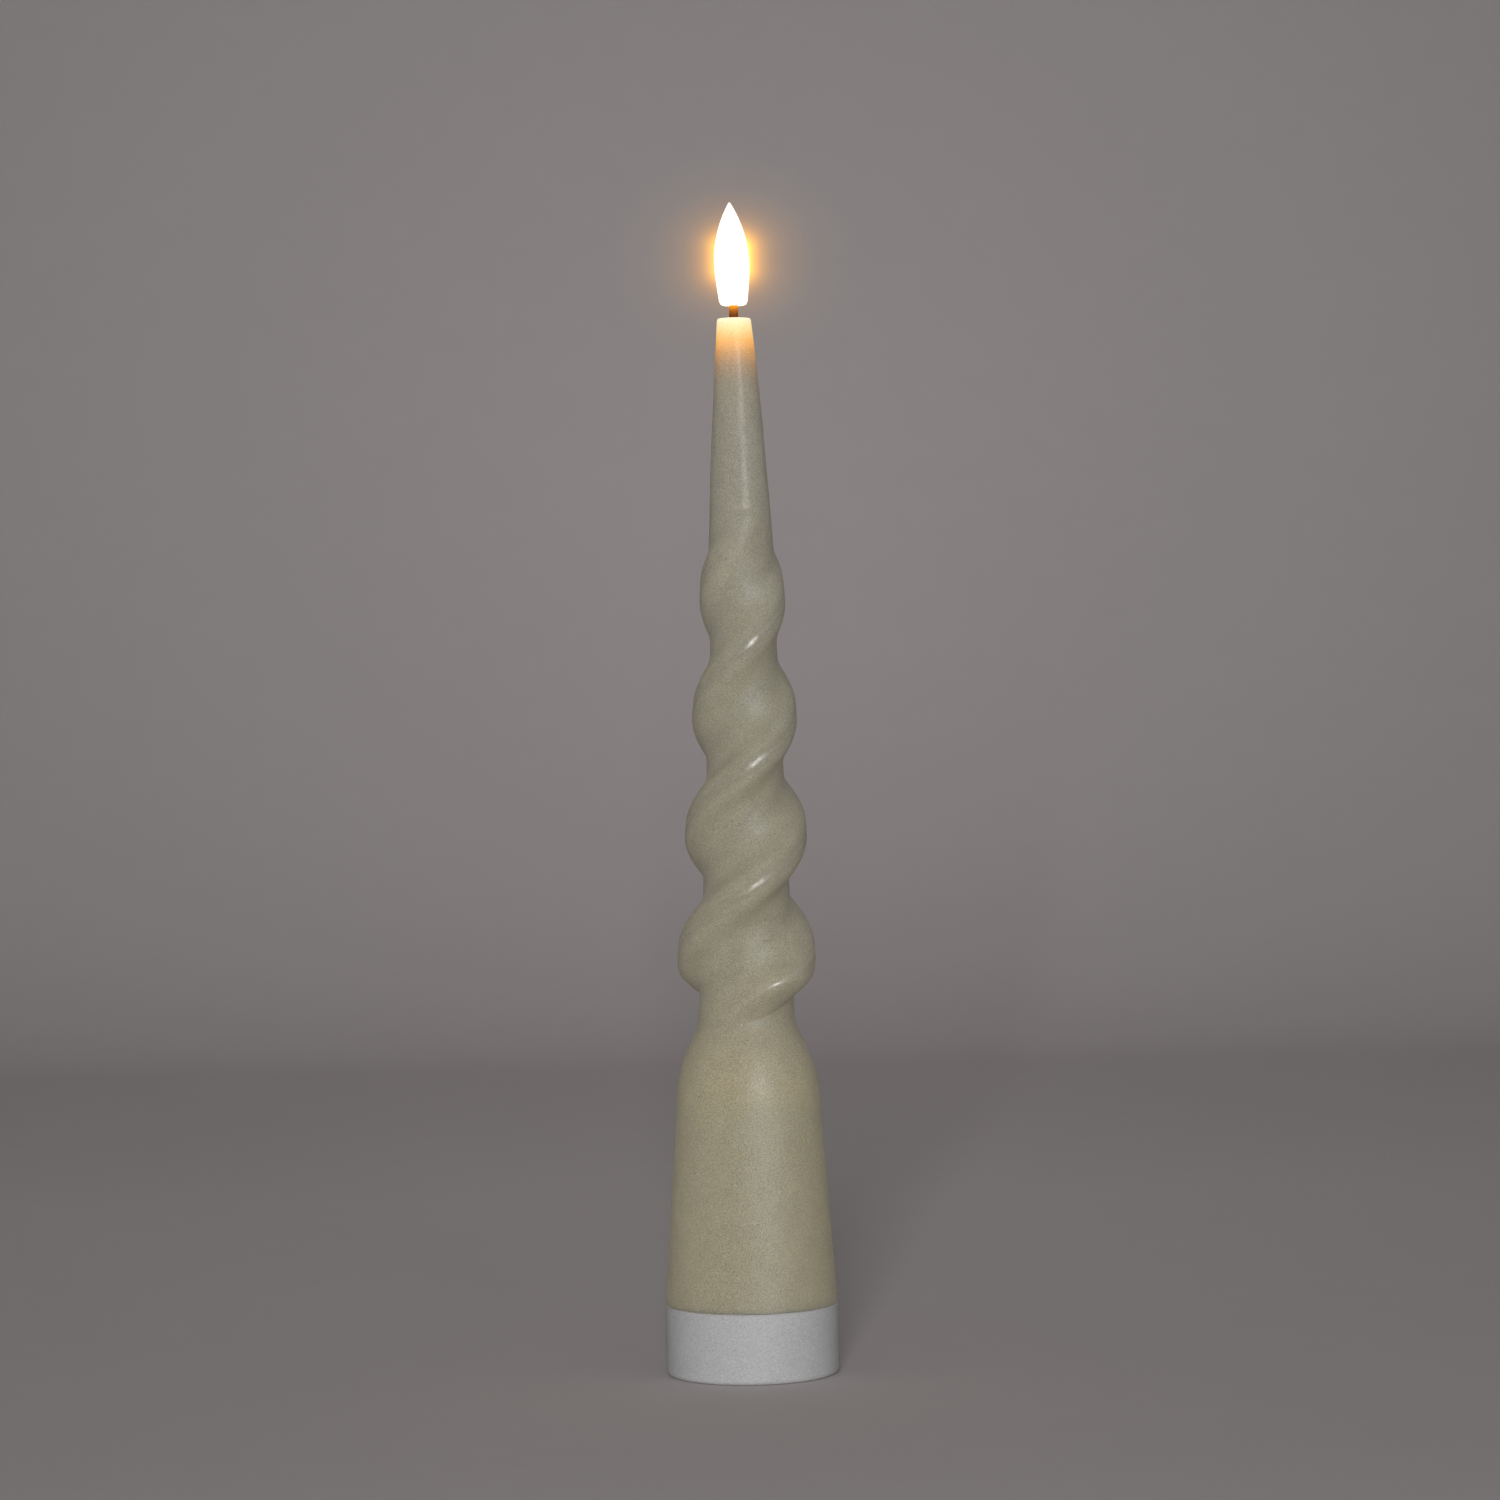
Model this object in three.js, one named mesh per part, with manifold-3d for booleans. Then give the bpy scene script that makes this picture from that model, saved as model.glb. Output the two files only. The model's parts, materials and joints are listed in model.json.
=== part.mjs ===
// LED dinner candle: a twisted wax shell over a battery housing, a flame-shaped lens on a wick pin,
// and a white base cup with a battery door and a slide switch underneath.
// Millimetres, +Z up. The origin is the centre of the foot, on the table. The front faces -Y.
import * as THREE from 'three';
import { mergeVertices } from 'three/addons/utils/BufferGeometryUtils.js';
import Module from 'manifold-3d';

const wasm = await Module();
wasm.setup();

// Clearances
const fit = 0.3; // between pieces that sit in or on one another, and round pieces that move
const past = 1; // how far a cutting solid runs past what it cuts

// Base cup
const baseRadius = 19;
const baseWallTop = 15.4;
const baseWall = 1.6;
const baseCorner = 1.2;
const rimEdge = 0.3;
const footHeight = 1.2;
const footWidth = 1.6;
const floorThickness = 2.6;
const spigotWall = 1.3;
const spigotHeight = 5;

// Wax skirt and shoulder
const skirtFootRadius = 18.8;
const waxWall = 2;
const shoulderRadius = 15.75;
const shoulderHeight = 61;
const shoulderEase = 9.8;
const neckRadius = 10.63;
const neckHeight = 78;
const neckEase = 3.2;

// Twist: two strands round a core
const halfPitch = 26.1; // height of half a turn
const firstBulgeHeight = 93.7; // where the strands first point left and right
const firstBulgeRadius = 15;
const lastBulgeRadius = 9.25;
const bulgeSwell = 0.2; // how far the bulges stand outside a straight taper, half way up
const lastNeckRadius = 7.35;
const bulgeCount = 4;
const strandOffset = 0.44; // the strand's centre, as a share of its reach from the axis
const strandHalfWidth = 0.54; // the same
const strandSquareness = 2.4;
const creaseFillet = 3; // fills the valleys between the strands
const strandFullHeight = 88; // the strands grow from the neck to here
const strandFadeStart = 176; // and melt into the taper from here
const twistTop = 192;
const twistLead = 11; // degrees that the strands run ahead at the neck
const twistLeadEnd = 110;
const coreFadeStart = 171;
const coreFadeEnd = 183;

// Taper
const waxTop = 231.4;
const tipRadius = 3.65;
const taperTopRadius = 6.94;
const taperTopHeight = 184.6;
const taperSwell = 0.25;
const tipEdge = 0.35;

// Stem tube and wick
const stemRadius = 3;
const stemWall = 0.8;
const stemTop = 206;
const domeStart = 56;
const domeTop = 65.5;
const wickRadius = 1;
const wickWall = 0.22;
const wickShown = 2.8;
const wickInLens = 1.1;
const wickLength = 27;

// Flame
const flameHeight = 22.5;
const flameRadius = 3.83;
const flameBelly = 9.2;
const flameFootRadius = 3.12;
const flameFootCorner = 1.5;
const flameFlatRadius = 2.1;
const flameFootEase = 2.3; // how far each curve of the flame's side leaves its end straight on
const flameFootSpread = 0.33;
const flameBellyEaseDown = 2.7;
const flameBellyEaseUp = 5.4;
const flameTipEase = 3.3;
const flameTipSpread = 1.95;
const flameTipRadius = 0.15;
const flameWall = 0.9;

// Lamp
const lampRadius = 0.9;
const lampLength = 3.3;
const lampLegRadius = 0.15;
const lampLegLength = 4;
const lampLegSpacing = 0.8;
const fineLeadRadius = 0.22;
const leadRadius = 0.45;

// Cells and housing
const cellRadius = 5.25;
const cellLength = 44.5;
const cellNub = 0.8;
const cellNubRadius = 1.9;
const cellEdge = 0.5;
const bayPitch = 11.8;
const housingWall = 1.2;
const housingTopThickness = 1.5;
const socketWall = 1.2;
const socketHeight = 7;
const socketStep = 3;
const leadNotchWidth = 2.4;

// Contacts
const sheet = 0.3;
const springHeight = 3.3;
const springWire = 0.3;
const springFootRadius = 3.4;
const springTopRadius = 2.2;
const springTurns = 3;
const contactHalfLength = 3.2;
const contactHalfWidth = 4;
const tabWidth = 1.8;
const tabShown = 1.6;

// Battery door
const doorThickness = 1.5;
const doorLedge = 1.2;
const doorCorner = 2;
const lugWidth = 2.4;
const lugSpacing = 7.2;
const lugReach = 1.4;
const lugLip = 0.6;
const tongueWidth = 5.6;
const tongueSlot = 0.8;
const tongueLength = 6;
const nailDipRadius = 3.4;
const nailDipDepth = 0.8;

// Switch
const switchY = 11.1;
const switchTravel = 4;
const switchLength = 8.6;
const switchWidth = 4;
const switchHeight = 3.5;
const knobLength = 3.2;
const knobWidth = 2.4;
const knobShown = 0.8;
const knobStemLength = 1.6;
const knobStemWidth = 1.5;
const knobStemHeight = 1.5;

// Board
const boardThickness = 1;
const chipSize = [5, 3.9, 1.5];
const chipPlace = [3.4, 10.5];
const chipLegCount = 4;
const chipLegPitch = 1.27;
const chipLegReach = 0.8;
const chipLegSize = 0.4;
const resistorSize = [3.2, 1.6, 0.6];
const resistorPlace = [-3.6, 10.6];

// Screws and posts
const screwClearance = 0.3;
const boardScrewPlace = [9, 9];
const boardScrew = { head: 1.5, headHeight: 1, shank: 0.8, length: 4.4 };
const postWall = 0.6;
const baseScrewPlace = [7.4, -10];
const baseScrew = { head: 1.8, headHeight: 1, shank: 0.9, length: 8 };
const baseBossWall = 0.7;
const baseBossHeight = 9;
const bossRib = 1.4;
const screwSink = 0.2; // the head lies this far inside its hole

// Facets
const aroundBase = 56;
const aroundWax = 40;
const aroundFlame = 20;
const aroundCell = 24;
const aroundTube = 14;
const aroundScrew = 12;
const twistRings = 50;

// Places worked out from the sizes above
const floorTop = footHeight + floorThickness;
const doorTop = footHeight + doorThickness;
const ledgeBottom = doorTop + fit;
const bayRadius = cellRadius + fit;
const bayX = bayPitch / 2;
const openingHalfLength = bayX + bayRadius;
const recessHalfLength = openingHalfLength + doorLedge;
const recessHalfWidth = bayRadius + doorLedge;
const doorHalfLength = recessHalfLength - fit;
const doorHalfWidth = recessHalfWidth - fit;
const housingHalfWidth = bayRadius + housingWall;
const housingHalfLength = openingHalfLength + housingWall;
const housingBottom = floorTop + fit;
const doorContactTop = ledgeBottom + sheet;
const leftCellBottom = doorContactTop + springHeight + fit;
const rightCellBottom = doorContactTop + fit;
const topContactBottom = leftCellBottom + cellLength + fit;
const housingCeiling = topContactBottom + sheet + fit;
const housingTop = housingCeiling + housingTopThickness;
const socketTop = housingTop + socketHeight;
const stemBottom = housingTop + socketStep;
const stemBore = stemRadius + fit;
const wickBore = wickRadius + fit;
const wickBottom = waxTop + wickShown + wickInLens - wickLength;
const flameFoot = waxTop + wickShown;
const lampBottom = flameFoot + wickInLens + fit;
const waxBottom = baseWallTop + fit;
const skirtSlope = (skirtFootRadius - shoulderRadius) / (shoulderHeight - waxBottom);
const spigotRadius = skirtFootRadius - waxWall - skirtSlope * spigotHeight - fit;
const spigotBore = spigotRadius - spigotWall;
const switchBottom = floorTop + fit;
const boardBottom = switchBottom + switchHeight + fit;
const boardTop = boardBottom + boardThickness;
const boardRadius = spigotBore - fit;
const boardEdgeY = housingHalfWidth + fit;
const lastNeckHeight = firstBulgeHeight + (bulgeCount - 1.5) * halfPitch;
const coreSlope = (neckRadius - lastNeckRadius) / (lastNeckHeight - neckHeight);

// Turns a closed geometry into a solid that can be cut and joined.
function solidOf(geometry) {
  const bare = geometry.clone();
  bare.deleteAttribute('normal');
  bare.deleteAttribute('uv');
  const merged = mergeVertices(bare, 1e-4);
  const index = merged.index.array;
  const corners = [];
  for (let i = 0; i < index.length; i += 3) {
    const [a, b, c] = [index[i], index[i + 1], index[i + 2]];
    if (a !== b && b !== c && c !== a) corners.push(a, b, c);
  }
  const vertProperties = Float32Array.from(merged.attributes.position.array);
  const triVerts = Uint32Array.from(corners);
  return new wasm.Manifold(new wasm.Mesh({ numProp: 3, vertProperties, triVerts }));
}

function geometryOf(solid) {
  const mesh = solid.getMesh();
  const positions = Float32Array.from(mesh.vertProperties);
  const geometry = new THREE.BufferGeometry();
  geometry.setAttribute('position', new THREE.BufferAttribute(positions, 3));
  geometry.setIndex(new THREE.BufferAttribute(Uint32Array.from(mesh.triVerts), 1));
  geometry.computeVertexNormals();
  return geometry;
}

// One solid from several that overlap, less others.
function build(joined, cuts = []) {
  let result = solidOf(joined[0]);
  for (const other of joined.slice(1)) result = result.add(solidOf(other));
  for (const cut of cuts) result = result.subtract(solidOf(cut));
  return geometryOf(result);
}

// A profile of radius and height turned about Z.
function turned(points, segments) {
  return new THREE.LatheGeometry(points, segments).rotateX(Math.PI / 2);
}

function ring(outer, inner, bottom, top, segments) {
  const corners = [[inner, bottom], [outer, bottom], [outer, top], [inner, top], [inner, bottom]];
  return turned(corners.map(([radius, height]) => new THREE.Vector2(radius, height)), segments);
}

function post(radius, bottom, top, x = 0, y = 0, segments = aroundScrew) {
  const shaft = new THREE.CylinderGeometry(radius, radius, top - bottom, segments);
  return shaft.rotateX(Math.PI / 2).translate(x, y, (top + bottom) / 2);
}

function block(low, high) {
  const size = high.map((value, axis) => value - low[axis]);
  const middle = high.map((value, axis) => (value + low[axis]) / 2);
  return new THREE.BoxGeometry(...size).translate(...middle);
}

// A plate with round corners, square to Z. Corners as large as the half width make a slot shape.
function plate(halfLength, halfWidth, corner, bottom, top) {
  const x = halfLength - corner;
  const y = halfWidth - corner;
  const outline = new THREE.Shape();
  outline.absarc(x, y, corner, 0, Math.PI / 2);
  outline.absarc(-x, y, corner, Math.PI / 2, Math.PI);
  outline.absarc(-x, -y, corner, Math.PI, 1.5 * Math.PI);
  outline.absarc(x, -y, corner, 1.5 * Math.PI, 2 * Math.PI);
  const options = { depth: top - bottom, bevelEnabled: false, curveSegments: 6 };
  return new THREE.ExtrudeGeometry(outline, options).translate(0, 0, bottom);
}

function circle(radius, sides) {
  const outline = new THREE.Shape();
  for (let i = 0; i < sides; i += 1) {
    const angle = (2 * Math.PI * i) / sides;
    const [x, y] = [radius * Math.cos(angle), radius * Math.sin(angle)];
    if (i === 0) outline.moveTo(x, y);
    else outline.lineTo(x, y);
  }
  outline.closePath();
  return outline;
}

function wire(points, radius, steps) {
  const path = new THREE.CatmullRomCurve3(points.map((point) => new THREE.Vector3(...point)));
  return new THREE.ExtrudeGeometry(circle(radius, 6), { steps, extrudePath: path, bevelEnabled: false });
}

const easeBetween = (value, low, high) => THREE.MathUtils.smoothstep(value, low, high);

// The ridge of one strand points at this angle at a height, and the other lies opposite.
function ridgeAngle(height) {
  const lead = THREE.MathUtils.degToRad(twistLead) * (1 - easeBetween(height, neckHeight, twistLeadEnd));
  return (Math.PI * (height - firstBulgeHeight)) / halfPitch + lead;
}

// The plain taper above the twist, slightly swollen half way.
function taperRadius(height) {
  const share = (height - taperTopHeight) / (waxTop - taperTopHeight);
  const swell = taperSwell * Math.sin(Math.PI * THREE.MathUtils.clamp(share, 0, 1));
  return THREE.MathUtils.lerp(taperTopRadius, tipRadius, share) + swell;
}

// The core narrows evenly from the neck, and meets the taper at the top.
function coreRadius(height) {
  const core = neckRadius - coreSlope * (height - neckHeight);
  return THREE.MathUtils.lerp(core, taperRadius(height), easeBetween(height, coreFadeStart, coreFadeEnd));
}

// How much of the strands stands out of the core: none at the neck and at the twist's top.
function strandPresence(height) {
  const start = easeBetween(height, neckHeight, strandFullHeight);
  const end = 1 - easeBetween(height, strandFadeStart, twistTop);
  return start * end;
}

// How far a strand's ridge stands from the axis.
function ridgeRadius(height) {
  const share = (height - firstBulgeHeight) / ((bulgeCount - 1) * halfPitch);
  const swell = bulgeSwell * Math.sin(Math.PI * THREE.MathUtils.clamp(share, 0, 1));
  const full = THREE.MathUtils.lerp(firstBulgeRadius, lastBulgeRadius, share) + swell;
  return THREE.MathUtils.lerp(coreRadius(height), full, strandPresence(height));
}

// A strand's radius at an angle from its ridge, as a share of its reach. Its section is a rounded
// square off the axis, and the ray's way out of it is found by halving.
function strandShare(angle) {
  const along = Math.abs(Math.cos(angle));
  const across = Math.abs(Math.sin(angle));
  const isInside = (radius) => {
    const x = Math.abs(radius * along - strandOffset) / (1 - strandOffset);
    const y = (radius * across) / strandHalfWidth;
    return x ** strandSquareness + y ** strandSquareness <= 1;
  };
  let low = strandOffset * along;
  let high = 1;
  if (!isInside(low)) return 0;
  for (let i = 0; i < 30; i += 1) {
    const middle = (low + high) / 2;
    if (isInside(middle)) low = middle;
    else high = middle;
  }
  return low;
}

// The larger of two radii, with a fillet where they cross.
function filletedMax(a, b, fillet) {
  if (fillet === 0) return Math.max(a, b);
  const overlap = Math.max(fillet - Math.abs(a - b), 0) / fillet;
  return Math.max(a, b) + (overlap * overlap * fillet) / 4;
}

// The rings of the wax's outside: each has a height, the angle of its first point, and its radii.
function waxRings() {
  const angles = Array.from({ length: aroundWax }, (_, i) => (2 * Math.PI * i) / aroundWax);
  const shares = angles.map(strandShare);
  const rings = [];
  const addRound = (height, radius, turn) => {
    rings.push({ height, turn, radii: shares.map(() => radius) });
  };
  const skirtTurn = ridgeAngle(neckHeight);
  const topTurn = ridgeAngle(twistTop);
  const shoulder = new THREE.CubicBezierCurve(
    new THREE.Vector2(shoulderRadius, shoulderHeight),
    new THREE.Vector2(shoulderRadius - skirtSlope * shoulderEase, shoulderHeight + shoulderEase),
    new THREE.Vector2(neckRadius + coreSlope * neckEase, neckHeight - neckEase),
    new THREE.Vector2(neckRadius, neckHeight),
  );
  const skirtRings = 3;
  for (let i = 0; i < skirtRings; i += 1) {
    const height = THREE.MathUtils.lerp(waxBottom, shoulderHeight, i / skirtRings);
    addRound(height, skirtFootRadius - skirtSlope * (height - waxBottom), skirtTurn);
  }
  for (const point of shoulder.getPoints(8).slice(0, -1)) addRound(point.y, point.x, skirtTurn);
  for (let i = 0; i <= twistRings; i += 1) {
    const height = THREE.MathUtils.lerp(neckHeight, twistTop, i / twistRings);
    const core = coreRadius(height);
    const reach = ridgeRadius(height);
    const fillet = creaseFillet * strandPresence(height);
    const radii = shares.map((share) => filletedMax(core, share * reach, fillet));
    rings.push({ height, turn: ridgeAngle(height), radii });
  }
  const taperRings = 6;
  for (let i = 1; i <= taperRings; i += 1) {
    const height = THREE.MathUtils.lerp(twistTop, waxTop - tipEdge, i / taperRings);
    addRound(height, taperRadius(height), topTurn);
  }
  addRound(waxTop, tipRadius - tipEdge, topTurn);
  return rings;
}

// A closed skin through rings of points, with a fan at each end.
function loft(rings) {
  const around = rings[0].radii.length;
  const positions = [];
  for (const { height, turn, radii } of rings) {
    radii.forEach((radius, i) => {
      const angle = turn + (2 * Math.PI * i) / around;
      positions.push(radius * Math.cos(angle), radius * Math.sin(angle), height);
    });
  }
  const bottomMiddle = positions.length / 3;
  const topMiddle = bottomMiddle + 1;
  positions.push(0, 0, rings[0].height, 0, 0, rings.at(-1).height);
  const index = [];
  for (let row = 0; row < rings.length - 1; row += 1) {
    for (let i = 0; i < around; i += 1) {
      const a = row * around + i;
      const b = row * around + ((i + 1) % around);
      index.push(a, b, a + around, b, b + around, a + around);
    }
  }
  const lastRow = (rings.length - 1) * around;
  for (let i = 0; i < around; i += 1) {
    const next = (i + 1) % around;
    index.push(bottomMiddle, next, i, topMiddle, lastRow + i, lastRow + next);
  }
  const geometry = new THREE.BufferGeometry();
  geometry.setAttribute('position', new THREE.Float32BufferAttribute(positions, 3));
  geometry.setIndex(index);
  return geometry;
}

// The room inside the wax: the skirt's hollow, a dome, the stem's bore and the wick's bore.
function waxHollow() {
  const hollowRadius = (height) => skirtFootRadius - waxWall - skirtSlope * (height - waxBottom);
  const outline = new THREE.Path();
  outline.moveTo(0, waxBottom - past);
  outline.lineTo(hollowRadius(waxBottom), waxBottom - past);
  outline.lineTo(hollowRadius(waxBottom), waxBottom);
  outline.lineTo(hollowRadius(domeStart), domeStart);
  const domeReach = hollowRadius(domeStart) - stemBore;
  outline.absellipse(stemBore, domeStart, domeReach, domeTop - domeStart, 0, Math.PI / 2);
  outline.lineTo(stemBore, stemTop + fit);
  outline.lineTo(wickBore, stemTop + fit);
  outline.lineTo(wickBore, waxTop + past);
  outline.lineTo(0, waxTop + past);
  return turned(outline.getPoints(3), aroundWax);
}

function waxShell() {
  return build([loft(waxRings())], [waxHollow()]);
}

// The flame's outside from its flat foot to its tip, drawn in by a wall thickness for the inside.
function flameOutline(inset) {
  const foot = flameFoot + inset;
  const outline = new THREE.Path();
  outline.moveTo(wickBore, foot);
  outline.lineTo(flameFlatRadius - inset / 2, foot);
  outline.quadraticCurveTo(flameFootRadius - inset, foot, flameFootRadius - inset, foot + flameFootCorner);
  const belly = flameFoot + flameBelly;
  outline.bezierCurveTo(
    flameFootRadius + flameFootSpread - inset, flameFoot + flameFootCorner + flameFootEase,
    flameRadius - inset, belly - flameBellyEaseDown,
    flameRadius - inset, belly,
  );
  const tip = flameFoot + flameHeight - 2 * inset;
  outline.bezierCurveTo(
    flameRadius - inset, belly + flameBellyEaseUp,
    flameTipRadius + flameTipSpread - inset, tip - flameTipEase,
    flameTipRadius, tip,
  );
  outline.lineTo(0, tip);
  return outline.getPoints(4);
}

function flameLens() {
  const outside = flameOutline(0);
  const inside = flameOutline(flameWall).reverse();
  return turned([...outside, ...inside, outside[0]], aroundFlame);
}

function wickSleeve() {
  return ring(wickRadius, wickRadius - wickWall, wickBottom, wickBottom + wickLength, aroundTube);
}

function lamp() {
  const dome = new THREE.Path();
  dome.moveTo(0, lampBottom);
  dome.lineTo(lampRadius, lampBottom);
  dome.lineTo(lampRadius, lampBottom + lampLength - lampRadius);
  dome.absarc(0, lampBottom + lampLength - lampRadius, lampRadius, 0, Math.PI / 2);
  const legs = [-1, 1].map((side) => post(
    lampLegRadius, lampBottom - lampLegLength, lampBottom + lampRadius, (side * lampLegSpacing) / 2, 0, 6,
  ));
  return build([turned(dome.getPoints(2), aroundTube), ...legs]);
}

function stemTube() {
  return ring(stemRadius, stemRadius - stemWall, stemBottom, stemTop, aroundTube);
}

function baseShell() {
  const inner = baseRadius - baseWall;
  const profile = new THREE.Path();
  profile.moveTo(0, footHeight);
  profile.lineTo(baseRadius - baseCorner - footWidth, footHeight);
  profile.lineTo(baseRadius - baseCorner - footWidth, 0);
  profile.lineTo(baseRadius - baseCorner, 0);
  profile.absarc(baseRadius - baseCorner, baseCorner, baseCorner, -Math.PI / 2, 0);
  profile.lineTo(baseRadius, baseWallTop - rimEdge);
  profile.lineTo(baseRadius - rimEdge, baseWallTop);
  profile.lineTo(inner, baseWallTop);
  profile.lineTo(inner, floorTop);
  profile.lineTo(spigotRadius, floorTop);
  profile.lineTo(spigotRadius, baseWallTop + spigotHeight);
  profile.lineTo(spigotBore, baseWallTop + spigotHeight);
  profile.lineTo(spigotBore, floorTop);
  profile.lineTo(0, floorTop);
  const cup = turned(profile.getPoints(2), aroundBase);
  const postRadius = boardScrew.shank + screwClearance + postWall;
  const [postX, postY] = boardScrewPlace;
  const posts = [-1, 1].map((side) => post(
    postRadius, floorTop - fit, boardBottom - fit, side * postX, postY,
  ));
  return build([cup, ...posts], [...doorCuts(), ...switchCuts(), ...baseScrewCuts()]);
}

// The door's recess, the opening to the bays, the lugs' notches, and a dip for a fingernail.
function doorCuts() {
  const corner = doorCorner + fit;
  const recess = plate(recessHalfLength, recessHalfWidth, corner, footHeight - past, ledgeBottom);
  const opening = plate(openingHalfLength, bayRadius, bayRadius, footHeight - past, floorTop + past);
  const notchHalfWidth = lugWidth / 2 + fit;
  const notches = [-1, 1].map((side) => block(
    [-doorHalfLength - lugReach - fit, (side * lugSpacing) / 2 - notchHalfWidth, footHeight + lugLip],
    [-openingHalfLength + bayRadius / 4, (side * lugSpacing) / 2 + notchHalfWidth, floorTop + past],
  ));
  const dip = post(nailDipRadius, footHeight - past, footHeight + nailDipDepth, recessHalfLength, 0);
  return [recess, opening, ...notches, dip];
}

function switchCuts() {
  const halfLength = (switchTravel + knobLength) / 2 + fit;
  const halfWidth = knobWidth / 2 + fit;
  const low = [-halfLength, switchY - halfWidth, footHeight - past];
  const high = [halfLength, switchY + halfWidth, floorTop + past];
  const [postX, postY] = boardScrewPlace;
  const radius = boardScrew.shank + screwClearance;
  const bottom = boardTop - boardScrew.length - fit;
  const holes = [-1, 1].map((side) => post(radius, bottom, boardBottom + past, side * postX, postY));
  return [block(low, high), ...holes];
}

function baseScrewCuts() {
  const [x, y] = baseScrewPlace;
  const seat = footHeight + screwSink + baseScrew.headHeight + fit;
  const headHole = baseScrew.head + screwClearance;
  const shankHole = baseScrew.shank + screwClearance;
  return [-1, 1].flatMap((side) => [
    post(headHole, footHeight - past, seat, side * x, y, 2 * aroundScrew),
    post(shankHole, footHeight, floorTop + past, side * x, y),
  ]);
}

function batteryHousing() {
  const body = plate(housingHalfLength, housingHalfWidth, housingHalfWidth, housingBottom, housingTop);
  const socket = post(stemBore + socketWall, housingTop - past, socketTop, 0, 0, aroundCell);
  const [bossX, bossY] = baseScrewPlace;
  const bossRadius = baseScrew.shank + screwClearance + baseBossWall;
  const bossTop = housingBottom + baseBossHeight;
  const bosses = [-1, 1].flatMap((side) => [
    post(bossRadius, housingBottom, bossTop, side * bossX, bossY),
    block(
      [side * bossX - bossRib / 2, bossY, housingBottom],
      [side * bossX + bossRib / 2, housingWall / 2 - bayRadius, bossTop],
    ),
  ]);
  const bays = [-1, 1].map((side) => post(
    bayRadius, housingBottom - past, housingCeiling, side * bayX, 0, aroundCell,
  ));
  const holeTop = housingBottom + baseBossHeight - fit;
  const screwHoles = [-1, 1].map((side) => post(
    baseScrew.shank + screwClearance, housingBottom - past, holeTop, side * bossX, bossY,
  ));
  const stemSeat = post(stemBore, stemBottom - fit, socketTop + past, 0, 0, aroundCell);
  const leadWell = post(stemRadius - stemWall, housingTop, socketTop, 0, 0, aroundTube);
  const leadNotch = block(
    [-leadNotchWidth / 2, 0, housingTop],
    [leadNotchWidth / 2, stemBore + socketWall + past, stemBottom - fit],
  );
  const tabSlots = [-1, 1].map((side) => block(
    [side * bayX - tabWidth / 2 - fit, contactHalfWidth - sheet - fit, housingCeiling - past],
    [side * bayX + tabWidth / 2 + fit, contactHalfWidth + fit, housingTop + past],
  ));
  const cuts = [...bays, ...screwHoles, stemSeat, leadWell, leadNotch, ...tabSlots];
  return build([body, socket, ...bosses], cuts);
}

// A cell standing on its flat end, with its nub on top.
function cell() {
  const outline = new THREE.Path();
  const body = cellLength - cellNub;
  outline.moveTo(0, 0);
  outline.lineTo(cellRadius - cellEdge, 0);
  outline.lineTo(cellRadius, cellEdge);
  outline.lineTo(cellRadius, body - cellEdge);
  outline.lineTo(cellRadius - cellEdge, body);
  outline.lineTo(cellNubRadius, body);
  outline.lineTo(cellNubRadius, cellLength);
  outline.lineTo(0, cellLength);
  return turned(outline.getPoints(1), aroundCell);
}

// A coil that narrows from its foot to its top, drawn as one unbroken wire.
class ConicalCoil extends THREE.Curve {
  getPoint(share, target = new THREE.Vector3()) {
    const angle = 2 * Math.PI * springTurns * share;
    const radius = THREE.MathUtils.lerp(springFootRadius, springTopRadius, share);
    const height = THREE.MathUtils.lerp(springWire / 2, springHeight - springWire, share);
    return target.set(radius * Math.cos(angle), radius * Math.sin(angle), height);
  }
}

function coil() {
  const options = { steps: 8 * springTurns, extrudePath: new ConicalCoil(), bevelEnabled: false };
  return new THREE.ExtrudeGeometry(circle(springWire, 5), options);
}

// The least clear gap between neighbouring turns of the coil, measured between points on its path.
function coilGap() {
  const points = new ConicalCoil().getPoints(40 * springTurns);
  let least = Infinity;
  points.forEach((point, i) => {
    for (const other of points.slice(i + 30)) least = Math.min(least, point.distanceTo(other));
  });
  return least - 2 * springWire;
}

// The bridge on the door: a plate, and a coil under the left cell.
function doorContact() {
  const bridge = plate(bayX + contactHalfLength, contactHalfWidth, 1, ledgeBottom, doorContactTop);
  return build([bridge, coil().translate(-bayX, 0, doorContactTop)]);
}

// A contact under the housing's top, with a tab that stands up through its slot.
function topContact(withCoil) {
  const top = topContactBottom + sheet;
  const leaf = block(
    [-contactHalfLength, -contactHalfWidth, topContactBottom],
    [contactHalfLength, contactHalfWidth, top],
  );
  const tab = block(
    [-tabWidth / 2, contactHalfWidth - sheet, topContactBottom],
    [tabWidth / 2, contactHalfWidth, housingTop + tabShown],
  );
  const hungCoil = coil().rotateX(Math.PI).translate(0, 0, topContactBottom);
  return build(withCoil ? [leaf, tab, hungCoil] : [leaf, tab]);
}

// The door, with two lugs on its hinge end and a tongue cut free at the other.
function batteryDoor() {
  const panel = plate(doorHalfLength, doorHalfWidth, doorCorner, footHeight, doorTop);
  const lugBottom = footHeight + lugLip + fit;
  const lugs = [-1, 1].map((side) => block(
    [-doorHalfLength - lugReach, (side * lugSpacing - lugWidth) / 2, lugBottom],
    [-doorHalfLength + doorLedge, (side * lugSpacing + lugWidth) / 2, doorTop],
  ));
  const slots = [-1, 1].map((side) => block(
    [doorHalfLength - tongueLength, (side * (tongueWidth + tongueSlot) - tongueSlot) / 2, footHeight - past],
    [doorHalfLength + past, (side * (tongueWidth + tongueSlot) + tongueSlot) / 2, doorTop + past],
  ));
  return build([panel, ...lugs], slots);
}

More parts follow.
